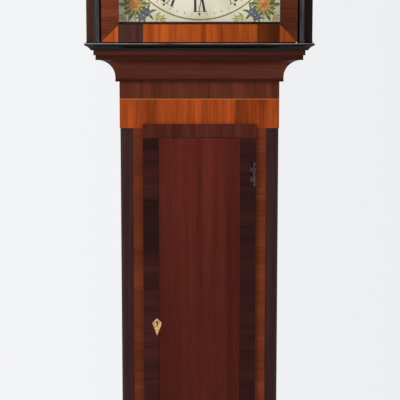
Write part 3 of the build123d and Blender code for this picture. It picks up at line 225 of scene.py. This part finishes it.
def wood_colour(tree, dark, light, along, seed, tones=(), fibre=420, figure=34):
    """Two tones mixed by two noises drawn out along the grain, times a tone for each leaf.

    tones holds pairs (axis, ((metres, tone), ...)), each a tone that changes along one axis: from one leaf
    of veneer to the next, and on some pieces painted light and shade. Returns the colour and the fine
    fibre's value.
    """
    scale = [1.0, 1.0, 1.0]
    scale["xyz".index(along)] = along_grain
    place = tree.nodes.new("ShaderNodeTexCoord")
    drawn_out = add_node(tree, "Mapping", {
        "Vector": place.outputs["Object"], "Location": (seed, seed * 0.7, seed * 1.3), "Scale": scale})
    noises = []
    for size, detail, bend in ((fibre, 3, 0.3), (figure, 4, 1.2)):
        noise = add_node(tree, "TexNoise", {
            "Vector": drawn_out.outputs["Vector"], "Scale": size, "Detail": detail, "Distortion": bend})
        noises.append(noise.outputs["Fac"])
    broad = worked_out(tree, "MULTIPLY", noises[1], figure_weight)
    share = worked_out(tree, "MULTIPLY_ADD", noises[0], fibre_weight, broad)
    colour = two_tone(tree, share, dark, light, 0.42, 0.78)
    for axis, stops in tones:
        low, high = stops[0][0], stops[-1][0]
        leaf = add_node(tree, "ValToRGB", {"Fac": rescaled(tree, object_axis(tree, axis), low, high)})
        for i, (at, tone) in enumerate(stops):
            spot = (at - low) / (high - low)
            stop = leaf.color_ramp.elements[i] if i < 2 else leaf.color_ramp.elements.new(spot)
            stop.position = spot
            stop.color = (*tone, 1) if isinstance(tone, tuple) else (tone, tone, tone, 1)
        colour = mixed(tree, 1, colour, leaf.outputs["Color"], "MULTIPLY")
    return colour, noises[0]


def polish(tree, surface, colour, fibre, rough=0.34, coat=0.03, relief=0.06, gloss=0.05, sheen=0.16):
    """French polish: the colour under a thin coat, with the fibres just felt in the surface."""
    fill(tree, surface, {
        "Base Color": colour, "Roughness": rough, "Specular IOR Level": gloss, "Coat Weight": coat,
        "Coat Roughness": sheen, "Normal": felt_relief(tree, fibre, relief, 0.0006)})


def wood(name, dark, light, along, seed, rough=0.34, coat=0.03, relief=0.06, **figure):
    """One polished wood, ready to put on a piece."""
    material, tree, surface = material_with(name)
    colour, fibre = wood_colour(tree, dark, light, along, seed, **figure)
    polish(tree, surface, colour, fibre, rough, coat, relief)
    return material


def dress(material, *nodes):
    """Puts one finish on whole CAD nodes."""
    for node in nodes:
        cad[node].data.materials.clear()
        cad[node].data.materials.append(material)


boards = wood("mahogany_boards", (0.040, 0.012, 0.008), (0.100, 0.030, 0.018), "z", 1.7)
dress(boards, "waist_sides", "hood_boards", "base_carcass")
oak = wood("oak_boards", (0.110, 0.066, 0.032), (0.260, 0.165, 0.085), "z", 5.1,
           rough=0.7, coat=0.0, relief=0.3)
dress(oak, "backboard")
seat_oak = wood("seatboard_oak", (0.110, 0.066, 0.032), (0.240, 0.150, 0.080), "x", 6.3,
                rough=0.7, coat=0.0)
dress(seat_oak, "seatboard")

frieze = wood("frieze_mahogany", (0.064, 0.014, 0.0065), (0.138, 0.032, 0.0140), "z", 2.2)
dress(frieze, "frieze_rail")
line_wood = wood("stringing", (0.30, 0.085, 0.020), (0.52, 0.20, 0.060), "x", 0.4, rough=0.45)
dress(line_wood, "frieze_stringing")

rail_tones = ("X", (
    (-0.168, 0.55), (-0.160, 0.90), (-0.140, 1.05), (-0.130, 0.85), (-0.115, 0.68), (-0.085, 0.80),
    (-0.060, 0.95), (-0.045, 0.86), (-0.020, 1.10), (0.010, 1.18), (0.030, 1.0), (0.066, 1.08),
    (0.072, 1.15), (0.076, 0.55), (0.092, 0.62), (0.105, 0.80), (0.120, 0.92), (0.128, 0.78),
    (0.150, 1.0), (0.168, 0.6)))
rail = wood("top_rail_veneer", (0.160, 0.024, 0.0035), (0.430, 0.076, 0.0120), "z", 3.9,
            tones=[rail_tones], figure=22)
dress(rail, "waist_rails")

stile_tones = ("Z", (
    (0.59, 0.95), (0.90, 1.05), (1.02, 0.95), (1.11, 1.10), (1.20, 0.90), (1.24, 0.80),
    (1.29, 1.05), (1.33, 0.78), (1.36, 1.0), (1.42, 0.95)))
stiles = wood("stile_veneer", (0.088, 0.0165, 0.0055), (0.178, 0.0355, 0.0105), "x", 4.6,
              tones=[stile_tones, ("X", ((-0.138, 0.85), (0.138, 1.0)))], figure=24)
dress(stiles, "waist_stiles")

reeds = wood("reeded_columns", (0.022, 0.0075, 0.0080), (0.054, 0.0200, 0.0190), "z", 7.7, rough=0.42)
dress(reeds, "quarter_columns")


# The throat moulding
# Cross-grained mahogany with painted shade: its two square fillets are dark, the hollow darkens up
# towards the upper fillet, and its lower part is a lighter, redder brown.
throat_low, throat_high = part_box("throat_moulding")
# Painted shade along the height: darkest on the bottom and upper fillets, lightest low in the hollow.
throat_shade_tones = ("Z", (
    (throat_low.z, 0.35), (throat_low.z + 0.006, 0.45), (throat_low.z + 0.007, 1.15),
    (throat_low.z + 0.034, 1.10), (throat_low.z + 0.040, 0.80), (throat_low.z + 0.0473, 0.62),
    (throat_low.z + 0.0475, 0.45), (throat_low.z + 0.0572, 0.50), (throat_low.z + 0.0576, 0.85),
    (throat_high.z, 0.75)))
throat = wood("throat_mahogany", (0.060, 0.013, 0.007), (0.115, 0.027, 0.016), "x", 8.8,
              tones=[throat_shade_tones])
dress(throat, "throat_moulding")


# The waist door
# A board faced with figured mahogany, framed by crossbanding that has gone nearly black in places,
# with a thin black line of painted shade along the joint between the two.
# A bone kite is let in round the keyhole.
field = wood("door_field", (0.058, 0.0080, 0.0046), (0.106, 0.0168, 0.0085), "z", 9.3, fibre=520, figure=26,
             tones=[("Z", ((0.60, 0.66), (1.00, 0.76), (1.20, 0.86), (1.30, 0.97), (1.42, 1.0))),
                    ("X", ((-0.085, 0.95), (-0.03, 1.05), (0.01, 1.1), (0.05, 1.0), (0.083, 0.88)))])
dress(field, "door_board")

door_low, door_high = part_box("door_board")
band_width, end_band = 0.033, 0.029
band_material, tree, surface = material_with("door_bands")
left_tones = ("Z", (
    (door_low.z, 0.9), (0.90, 1.25), (1.05, 1.1), (1.152, 1.0), (1.160, 0.48), (1.268, 0.48),
    (1.274, 1.0), (1.372, 1.0), (1.377, 0.42), (1.401, 0.42), (door_high.z, 0.9)))
left_colour, band_fibre = wood_colour(tree, (0.019, 0.0040, 0.0038), (0.047, 0.0105, 0.0085), "x", 2.9,
                                      tones=[left_tones], figure=28)
right_colour, _ = wood_colour(tree, (0.015, 0.0030, 0.0034), (0.038, 0.0075, 0.0072), "x", 4.1, figure=28)
end_colour, _ = wood_colour(tree, (0.042, 0.0080, 0.0045), (0.092, 0.0190, 0.0105), "z", 3.3, figure=28)
door_middle = (door_low.z + door_high.z) / 2
from_middle = worked_out(tree, "ABSOLUTE", worked_out(tree, "SUBTRACT", object_axis(tree, "Z"), door_middle))
in_end_band = worked_out(tree, "GREATER_THAN", from_middle, door_high.z - door_middle - end_band)
on_right = worked_out(tree, "GREATER_THAN", object_axis(tree, "X"), 0)
side_colour = mixed(tree, on_right, left_colour, right_colour)
polish(tree, surface, mixed(tree, in_end_band, side_colour, end_colour), band_fibre)
dress(band_material, "door_banding")

hair = 4e-6


def prisms(name, outlines, back_y, thickness):
    """Flat shapes given by (x, z) outlines, each made a closed slab from back_y towards the viewer.

    Neighbours in the list differ by a hair in thickness, so that where they overlap no two faces
    lie in one plane.
    """
    points, faces = [], []
    for order, shape in enumerate(outlines):
        shape = np.asarray(shape, float)
        turn = np.roll(shape, -1, axis=0)
        if np.sum(shape[:, 0] * turn[:, 1] - turn[:, 0] * shape[:, 1]) < 0:
            shape = shape[::-1]
        count, base = len(shape), len(points)
        front_y = back_y - thickness - order % 8 * hair
        for y in (front_y, back_y):
            points += np.column_stack((shape[:, 0], np.full(count, y), shape[:, 1])).tolist()
        front = [base + i for i in range(count)]
        faces.append(front)
        faces.append([i + count for i in reversed(front)])
        for i in range(count):
            j = (i + 1) % count
            faces.append([base + i, base + count + i, base + count + j, base + j])
    return mesh_piece(name, points, faces)


def rectangle(x0, x1, z0, z1):
    """The four corners of an upright rectangle."""
    return [(x0, z0), (x1, z0), (x1, z1), (x0, z1)]


line_width, line_thickness = 0.0013, 0.00015
field_half = door_high.x - band_width
field_low, field_high = door_low.z + end_band, door_high.z - end_band
# A thin black line of painted shade round the field, along its joint with the banding.
painted_shade_line = wood("black_painted_shade", (0.006, 0.004, 0.004), (0.014, 0.009, 0.008), "z", 0.2)
field_shade_lines = prisms("door_field_painted_shade", [
    rectangle(-field_half - line_width, -field_half, field_low - line_width, field_high + line_width),
    rectangle(field_half, field_half + line_width, field_low - line_width, field_high + line_width),
    rectangle(-field_half, field_half, field_high, field_high + line_width),
    rectangle(-field_half, field_half, field_low - line_width, field_low)], door_low.y, line_thickness)
field_shade_lines.data.materials.append(painted_shade_line)
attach(field_shade_lines, "waist_door")


def object_noise(tree, size, detail):
    """A noise that stays on its piece, with about size patches to the metre."""
    place = tree.nodes.new("ShaderNodeTexCoord")
    noise = add_node(tree, "TexNoise", {
        "Vector": place.outputs["Object"], "Scale": size, "Detail": detail})
    return noise.outputs["Fac"]


bone, tree, surface = material_with("escutcheon_bone")
fill(tree, surface, {"Roughness": 0.4, "Base Color": two_tone(
    tree, object_noise(tree, 260, 4), (0.28, 0.125, 0.030), (0.70, 0.45, 0.165), 0.35, 0.6)})
dress(bone, "door_escutcheon")


# Steel, brass and iron fittings
# Hinges and arbors are dull steel, the lock, wheels and knobs are brass with a little tarnish,
# and the weights are sand-cast iron. All three metals are mottled by the same kind of noise.
def metal(name, dull, bright, rough, mottle=60, relief=0.05, metallic=1.0):
    """A metal whose colour and roughness wander between two values with a soft noise."""
    material, tree, surface = material_with(name)
    noise = object_noise(tree, mottle, 6)
    fill(tree, surface, {
        "Base Color": two_tone(tree, noise, dull, bright, 0.35, 0.65), "Metallic": metallic,
        "Roughness": rescaled(tree, noise, to_low=rough + 0.12, to_high=rough - 0.05),
        "Normal": felt_relief(tree, noise, relief, 0.0005)})
    return material


steel = metal("dull_steel", (0.10, 0.09, 0.085), (0.34, 0.33, 0.32), 0.42, mottle=240)
dress(steel, "lock_bolt", "rear_brackets", "hammer", "anchor", "pendulum_rod")
dark_steel = metal("hinge_steel", (0.005, 0.0025, 0.0025), (0.064, 0.036, 0.032), 0.6,
                   mottle=300, metallic=0.5)
dress(dark_steel, "frame_hinge_leaves", "door_hinge_leaves")
brass = metal("clock_brass", (0.42, 0.27, 0.085), (0.66, 0.46, 0.17), 0.32)
dress(brass, "door_lock", "movement_frame", "centre_wheels", "hour_wheel", "minute_wheel",
      "third_wheel", "going_great_wheel", "going_barrel", "strike_great_wheel", "strike_barrel",
      "pin_wheel", "going_pulley", "strike_pulley")
bright_brass = metal("polished_brass", (0.55, 0.36, 0.12), (0.80, 0.58, 0.24), 0.2, mottle=40, relief=0.02)
dress(bright_brass, "hood_brasses", "hood_door_knob", "pendulum_bob", "escape_wheel")
bell_metal = metal("bell_metal", (0.36, 0.30, 0.18), (0.58, 0.50, 0.33), 0.28)
dress(bell_metal, "bell")
iron = metal("cast_iron", (0.035, 0.033, 0.032), (0.085, 0.080, 0.075), 0.62,
             mottle=420, relief=0.35, metallic=0.7)
dress(iron, "going_weight", "strike_weight")
blued = metal("blued_steel", (0.008, 0.009, 0.016), (0.022, 0.026, 0.048), 0.28, mottle=90)
dress(blued, "minute_hand", "hour_hand", "seconds_hand")


# The hood's ebonised parts and front frame
# The base frame and the two slender columns are stained black and polished. The base frame's upper
# edge is rounded over and carries a broken pale painted highlight. The front frame behind the columns
# is plain wood, with painted shade that darkens its right side.
ebony, tree, surface = material_with("ebonised_wood")
ebony_colour, ebony_fibre = wood_colour(tree, (0.0010, 0.0010, 0.0012), (0.0050, 0.0036, 0.0034), "x", 6.6)
polish(tree, surface, ebony_colour, ebony_fibre, rough=0.2, coat=0.28, relief=0.1, gloss=0.03, sheen=0.06)
dress(ebony, "hood_base_moulding")
black_column, tree, surface = material_with("ebonised_columns")
column_colour, column_fibre = wood_colour(tree, (0.0012, 0.0012, 0.0016), (0.0500, 0.0440, 0.0500),
                                          "z", 1.1, fibre=900, figure=260)
polish(tree, surface, column_colour, column_fibre, rough=0.25, coat=0.3, relief=0.25, gloss=0.05, sheen=0.05)
dress(black_column, "hood_columns")
edge_radius = 0.0008
rim_low, rim_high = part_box("hood_base_moulding")
corner_y = rim_low.y + edge_radius
corner_x = rim_high.x - edge_radius
rim_z = rim_high.z - edge_radius * 1.5
# Painted highlight: the rounded edge's colour runs in broken streaks from black up to a pale grey.
edge_highlight, tree, surface = material_with("worn_black_edge")
highlight_colour, highlight_fibre = wood_colour(tree, (0.004, 0.004, 0.004), (0.40, 0.39, 0.38), "x", 8.1,
                                    fibre=700, figure=160)
polish(tree, surface, highlight_colour, highlight_fibre, rough=0.25, coat=1.0, relief=0.0, gloss=0.3, sheen=0.05)


def tube_rings(path, radius, around=10):
    """Rings round a path: circles in the plane that is square to the path's direction."""
    ahead = np.gradient(path, axis=0)
    ahead /= np.linalg.norm(ahead, axis=1)[:, None]
    out = np.array([0, 1.0, 0]) if np.abs(ahead[:, 1]).max() < 0.5 else np.array([0, 0, 1.0])
    side = np.cross(out, ahead)
    side /= np.linalg.norm(side, axis=1)[:, None]
    rise = np.cross(ahead, side)
    turn = np.linspace(0, 2 * pi, around, endpoint=False)
    return (path[:, None] + radius * np.cos(turn)[None, :, None] * side[:, None]
            + radius * np.sin(turn)[None, :, None] * rise[:, None])


def capped_tube(name, paths, radius, material):
    """Closed tubes along several paths, joined in one mesh with a face over each end."""
    points, faces = [], []
    for path in paths:
        rings = tube_rings(path, radius)
        count, around = rings.shape[:2]
        index = np.arange(count * around).reshape(count, around) + len(points)
        faces += grid_quads(np.hstack((index, index[:, :1])))
        faces += [index[0].tolist()[::-1], index[-1].tolist()]
        points += rings.reshape(-1, 3).tolist()
    piece = mesh_piece(name, points, faces)
    piece.data.materials.append(material)
    return piece


front_edge = np.array([(x, corner_y, rim_z) for x in np.linspace(-corner_x, corner_x, 40)])
side_edges = [np.array([(side * corner_x, y, rim_z) for y in np.linspace(corner_y, rim_high.y - 0.002, 12)])
              for side in (-1, 1)]
rounded_edge = capped_tube("hood_base_rounded_edge", [front_edge, *side_edges], edge_radius, edge_highlight)
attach(rounded_edge, "hood")
# Painted shade: the front frame keeps its colour at the left and darkens to a quarter at the right, where
# the right column's shadow falls.
hood_front_painted_shade = wood("hood_stiles_painted_shade", (0.034, 0.0125, 0.0085), (0.074, 0.030, 0.021), "z", 4.2,
                  tones=[("X", ((-0.23, 1.0), (-0.19, 0.8), (0.19, 0.28), (0.23, 0.25)))])
dress(hood_front_painted_shade, "hood_frame")


# The hood's door
# Four mitred rails, each veneered across its width. The flat rails are bright in the middle,
# nearly black with a purple cast towards the left and dark brown towards the right.
# The uprights are darker at the right.
rail_low, rail_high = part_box("hood_door_frame")
door_veneer, tree, surface = material_with("hood_door_veneer")
flat_tones = ("X", (
    (rail_low.x, 1.1), (-0.1645, 1.45), (-0.1635, (0.15, 0.33, 1.8)), (-0.136, (0.19, 0.4, 2.0)),
    (-0.125, (0.14, 0.3, 1.6)), (-0.1140, (0.17, 0.35, 1.7)), (-0.1125, 1.15), (-0.095, 0.95),
    (-0.070, 1.15), (-0.050, 0.95), (0.0, 1.1), (0.050, 0.95), (0.110, 0.95), (0.1150, 0.8),
    (0.1165, 0.30), (0.140, 0.22), (0.1615, 0.22), (0.1630, 0.80), (rail_high.x, 0.62)))
flat_colour, flat_fibre = wood_colour(tree, (0.170, 0.027, 0.0035), (0.430, 0.084, 0.0120), "z", 5.5,
                                      tones=[flat_tones], figure=40)
upright_tones = ("X", ((rail_low.x, 1.05), (-0.160, 0.95), (0.160, 0.50), (rail_high.x, 0.55)))
upright_colour, _ = wood_colour(tree, (0.080, 0.017, 0.0062), (0.185, 0.041, 0.0165), "x", 6.1,
                                tones=[upright_tones], figure=30)
frame_middle = (rail_low.z + rail_high.z) / 2
up_off = worked_out(tree, "ABSOLUTE", worked_out(tree, "SUBTRACT", object_axis(tree, "Z"), frame_middle))
side_off = worked_out(tree, "ABSOLUTE", object_axis(tree, "X"))
beyond_mitre = worked_out(tree, "SUBTRACT", up_off, side_off)
is_flat = worked_out(tree, "GREATER_THAN", beyond_mitre, rail_high.z - frame_middle - rail_high.x)
polish(tree, surface, mixed(tree, is_flat, upright_colour, flat_colour), flat_fibre, rough=0.3)
dress(door_veneer, "hood_door_frame")

pane, tree, surface = material_with("window_glass")
fill(tree, surface, {
    "Base Color": (0.020, 0.030, 0.026, 1), "Alpha": 0.05,
    "Roughness": rescaled(tree, object_noise(tree, 9, 2), to_low=0.01, to_high=0.05)})
dress(pane, "hood_door_glass")


# The top of the hood and the base
# Cornice, swan necks and mouldings are cut from plain dark mahogany, the frieze, the pediment and the
# base's panel from figured boards, with a crossbanded border round the panel.
top_wood = wood("cornice_mahogany", (0.040, 0.011, 0.007), (0.095, 0.028, 0.017), "x", 9.9)
dress(top_wood, "hood_cornice", "swan_necks", "base_moulding", "plinth")
figured = wood("figured_mahogany", (0.062, 0.014, 0.0075), (0.150, 0.038, 0.018), "z", 7.1, figure=18)
dress(figured, "hood_frieze", "pediment", "base_panel")

panel_low, panel_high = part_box("base_panel")
border, inset, plinth_lap, banding_thickness = 0.036, 0.006, 0.008, 0.0004
outer_x = panel_high.x - inset
inner_x = outer_x - border
outer_low, outer_high = panel_low.z + inset + plinth_lap, panel_high.z - inset
inner_low, inner_high = outer_low + border, outer_high - border
banding = prisms("base_panel_banding", [
    [(-outer_x, outer_low), (outer_x, outer_low), (inner_x, inner_low), (-inner_x, inner_low)],
    [(-outer_x, outer_high), (outer_x, outer_high), (inner_x, inner_high), (-inner_x, inner_high)],
    [(-outer_x, outer_low), (-inner_x, inner_low), (-inner_x, inner_high), (-outer_x, outer_high)],
    [(outer_x, outer_low), (inner_x, inner_low), (inner_x, inner_high), (outer_x, outer_high)]],
    panel_low.y, banding_thickness)
banding.data.materials.append(stiles)
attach(banding, "case")


# The painted dial
# An iron sheet under cream enamel. Roman hours and minute marks are painted in black, a gilt ring
# runs round them, and a spray of flowers fills each corner.
enamel, tree, surface = material_with("dial_enamel")
fill(tree, surface, {"Roughness": 0.38, "Base Color": two_tone(
    tree, object_noise(tree, 22, 6), (0.64, 0.61, 0.415), (0.83, 0.80, 0.620), 0.32, 0.62)})
dress(enamel, "dial")


def centre_of(node):
    """The middle of a CAD node's box."""
    low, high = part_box(node)
    return (low + high) / 2


def paint(name, dark, light, scale=300):
    """Brushed oil paint: two tones of one colour mixed by a fine noise."""
    material, tree, surface = material_with(name)
    colour = two_tone(tree, object_noise(tree, scale, 3), dark, light, 0.38, 0.62)
    fill(tree, surface, {"Base Color": colour, "Roughness": 0.45})
    return material


dial_y, dial_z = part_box("dial")[0].y, centre_of("dial").z
paint_thickness = 0.00012


def on_dial(name, outlines, material, layer):
    """Painted shapes on the dial, a layer's thickness in front of the layer under them."""
    piece = prisms(name, outlines, dial_y - layer * paint_thickness, paint_thickness)
    piece.data.materials.append(material)
    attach(piece, "case")


def radial(angle, shape, radius=0.0):
    """Turns points (right, outward) to an hour's angle on the dial, clockwise from the top."""
    shape = np.asarray(shape, float) + (0, radius)
    c, s = cos(angle), sin(angle)
    return np.column_stack((shape[:, 0] * c + shape[:, 1] * s, dial_z - shape[:, 0] * s + shape[:, 1] * c))


black_paint = paint("black_dial_paint", (0.006, 0.006, 0.006), (0.016, 0.015, 0.014))
numeral_foot, numeral_head = 0.1085, 0.1400
thick, thin, serif = 0.0048, 0.0011, 0.0046
letter_widths = {"I": 0.0095, "V": 0.0170, "X": 0.0170}
splay = 0.0058


def bar(u0, u1, width):
    """A stroke from the numeral's foot at u0 to its head at u1, with a thin serif at each end."""
    h = numeral_head - numeral_foot
    w = width / 2
    stroke = [(u0 - w, 0), (u0 + w, 0), (u1 + w, h), (u1 - w, h)]
    foot = [(u0 - serif, 0), (u0 + serif, 0), (u0 + serif, thin), (u0 - serif, thin)]
    head = [(u1 - serif, h - thin), (u1 + serif, h - thin), (u1 + serif, h), (u1 - serif, h)]
    return stroke, foot, head


def numeral(letters):
    """The strokes of one Roman numeral, centred on its angle. A V has no serif at its foot."""
    width = sum(letter_widths[letter] for letter in letters)
    at, strokes = -width / 2, []
    for letter in letters:
        middle = at + letter_widths[letter] / 2
        if letter == "I":
            strokes += bar(middle, middle, thick)
        if letter == "V":
            strokes += bar(middle, middle - splay, thick)[::2]
            strokes += bar(middle, middle + splay, thin * 1.4)[::2]
        if letter == "X":
            strokes += bar(middle + splay, middle - splay, thick)
            strokes += bar(middle - splay, middle + splay, thin * 1.4)
        at += letter_widths[letter]
    return strokes


hours = ("XII", "I", "II", "III", "IIII", "V", "VI", "VII", "VIII", "IX", "X", "XI")
marks = []
for hour, letters in enumerate(hours):
    marks += [radial(hour * pi / 6, stroke, numeral_foot) for stroke in numeral(letters)]
minute_tick = rectangle(-0.0005, 0.0005, 0.1432, 0.1478)
hour_wedge = [(-0.0028, 0.1422), (0.0028, 0.1422), (0.0, 0.1486)]
marks += [radial(minute * pi / 30, minute_tick if minute % 5 else hour_wedge) for minute in range(60)]
on_dial("dial_hours_and_minutes", marks, black_paint, 1)


def ring_band(name, centre_x, centre_z, inner, outer, material, steps=180):
    """A flat painted ring: a rectangle's four corners carried round a circle."""
    turn = np.linspace(0, 2 * pi, steps, endpoint=False)[:, None]
    back = dial_y - paint_thickness
    front = back - paint_thickness
    radius = np.array([[inner, outer, outer, inner]])
    depth = np.array([[front, front, back, back]]) + 0 * turn
    points = np.stack((centre_x + radius * np.cos(turn), depth, centre_z + radius * np.sin(turn)), axis=-1)
    piece = grid_mesh(name, points, closed=True)
    piece.data.materials.append(material)
    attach(piece, "case")


gilt = metal("gilt_line", (0.17, 0.115, 0.035), (0.36, 0.27, 0.10), 0.42, mottle=160, metallic=0.3)
gilt_radius, gilt_half_width = 0.1556, 0.0014
ring_band("dial_gilt_ring", 0, dial_z, gilt_radius - gilt_half_width, gilt_radius + gilt_half_width, gilt)
seconds_z, seconds_inner, seconds_outer = centre_of("escape_wheel").z, 0.0228, 0.0262
ring_band("seconds_ring", 0, seconds_z, seconds_outer, 0.0266, black_paint, 96)
seconds_tick = rectangle(-0.0004, 0.0004, seconds_inner, seconds_outer)
seconds_ticks = [radial(second * pi / 30, seconds_tick) + (0, seconds_z - dial_z)
                 for second in range(0, 60, 5)]
on_dial("seconds_marks", seconds_ticks, black_paint, 1)
winding_hole = centre_of("going_barrel")
for name, x in (("going_winding_collar", winding_hole.x), ("strike_winding_collar", -winding_hole.x)):
    ring_band(name, x, winding_hole.z, 0.0062, 0.0076, bright_brass, 64)


def petal(cx, cz, angle, length, width, start=0.0):
    """A leaf-shaped outline that points away from a centre: its width follows a sine along it."""
    t = np.linspace(0, 1, 9)
    along = start + t * length
    half = width / 2 * np.sin(pi * t ** 0.8)
    along = np.concatenate((along, along[-2:0:-1]))
    half = np.concatenate((half, -half[-2:0:-1]))
    c, s = cos(angle), sin(angle)
    return np.column_stack((cx + along * c - half * s, cz + along * s + half * c))


rose_paint = paint("rose_paint", (0.42, 0.14, 0.022), (0.76, 0.42, 0.12), 420)
rose_heart = paint("rose_heart_paint", (0.36, 0.070, 0.014), (0.60, 0.21, 0.04), 420)
blue_paint = paint("blue_flower_paint", (0.035, 0.045, 0.085), (0.17, 0.20, 0.29), 380)
green_paint = paint("leaf_paint", (0.045, 0.060, 0.010), (0.23, 0.23, 0.055), 260)
moss_paint = paint("pale_leaf_paint", (0.24, 0.25, 0.060), (0.46, 0.44, 0.15), 260)
yellow_paint = paint("yellow_bud_paint", (0.55, 0.32, 0.05), (0.74, 0.52, 0.13), 380)

sprays = {"leaf": [], "pale": [], "rose": [], "heart": [], "blue": [], "yellow": []}


def corner_spray(flip_x, flip_z):
    """Adds one corner's leaves and flowers, measured out from the dial's centre and mirrored."""
    def put(kind, *leaf):
        shape = petal(*leaf)
        sprays[kind].append(np.column_stack((shape[:, 0] * flip_x, dial_z + shape[:, 1] * flip_z)))

    rose_x, rose_z = 0.131, 0.126
    for i in range(15):
        put("leaf", rose_x, rose_z, 0.35 + i * 2 * pi / 15, 0.0185 + 0.0050 * (i % 3), 0.0092, 0.007)
    for i in range(12):
        put("pale", rose_x, rose_z, 0.1 + i * 0.5, 0.026 + 0.003 * (i % 2), 0.0042, 0.006)
    for i in range(7):
        put("rose", rose_x, rose_z, 0.2 + i * 2 * pi / 7, 0.0155, 0.0120, -0.0015)
    for i in range(5):
        put("heart", rose_x, rose_z, i * 2 * pi / 5, 0.0065, 0.0046, 0.0008)
    for bx, bz, size in ((0.107, 0.1400, 0.0100), (0.1400, 0.101, 0.0090), (0.119, 0.1500, 0.0075)):
        for i in range(6):
            put("leaf", bx, bz, 0.2 + i * 1.05, size * 1.5, size * 0.5, size * 0.6)
        for i in range(5):
            put("blue", bx, bz, 0.5 + i * 2 * pi / 5, size, size * 0.85, 0.0004)
        put("yellow", bx - 0.0014, bz, 0, 0.0028, 0.0028)
    for bx, bz, angle in ((0.090, 0.149, 2.9), (0.080, 0.155, 3.0), (0.149, 0.084, -1.35),
                          (0.151, 0.148, 0.8)):
        for i in range(4):
            put("pale", bx, bz, angle - 0.9 + 0.6 * i, 0.015, 0.0036)
        put("yellow", bx, bz, angle - 0.4, 0.0085, 0.0052)


for flip_x, flip_z in ((-1, -1), (1, -1), (-1, 1), (1, 1)):
    corner_spray(flip_x, flip_z)
on_dial("corner_leaves", sprays["leaf"], green_paint, 1)
on_dial("corner_pale_leaves", sprays["pale"], moss_paint, 2)
on_dial("corner_roses", sprays["rose"], rose_paint, 3)
on_dial("corner_rose_hearts", sprays["heart"], rose_heart, 4)
on_dial("corner_blue_flowers", sprays["blue"], blue_paint, 3)
on_dial("corner_buds", sprays["yellow"], yellow_paint, 4)


# The gut lines
# Each weight hangs in the loop of a twisted gut line. The two falls beside its pulley are drawn at one
# length and ride with the case, and the half turn under the pulley goes up with the weight.
gut, tree, surface = material_with("gut")
place = tree.nodes.new("ShaderNodeTexCoord")
twist = add_node(tree, "TexWave", {"Vector": place.outputs["Object"], "Scale": 320})
twist.bands_direction = "DIAGONAL"
fill(tree, surface, {"Roughness": 0.5, "Base Color": two_tone(
    tree, twist.outputs["Fac"], (0.26, 0.17, 0.070), (0.50, 0.37, 0.19))})
dress(gut, "line_ends")

gut_radius = 0.0006
turn_radius = gut_radius * 1.15

for side in ("going", "strike"):
    low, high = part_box(f"{side}_line")
    depth = (low.y + high.y) / 2
    falls = [np.array([(x, depth, z) for z in np.linspace(low.z, high.z, 60)])
             for x in (low.x + gut_radius, high.x - gut_radius)]
    line = capped_tube(f"{side}_line_falls", falls, gut_radius, gut)
    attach(line, "case")
    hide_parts(f"{side}_line")
    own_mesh(line)
    middle, radius = (low.x + high.x) / 2, (high.x - low.x) / 2 - gut_radius
    angle = np.linspace(0, pi, 40)
    arc = np.column_stack((middle + radius * np.cos(angle), 0 * angle + depth,
                           low.z - radius * np.sin(angle)))
    turn_piece = capped_tube(f"{side}_line_turn", [arc], turn_radius, gut)
    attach(turn_piece, f"{side}_weight")
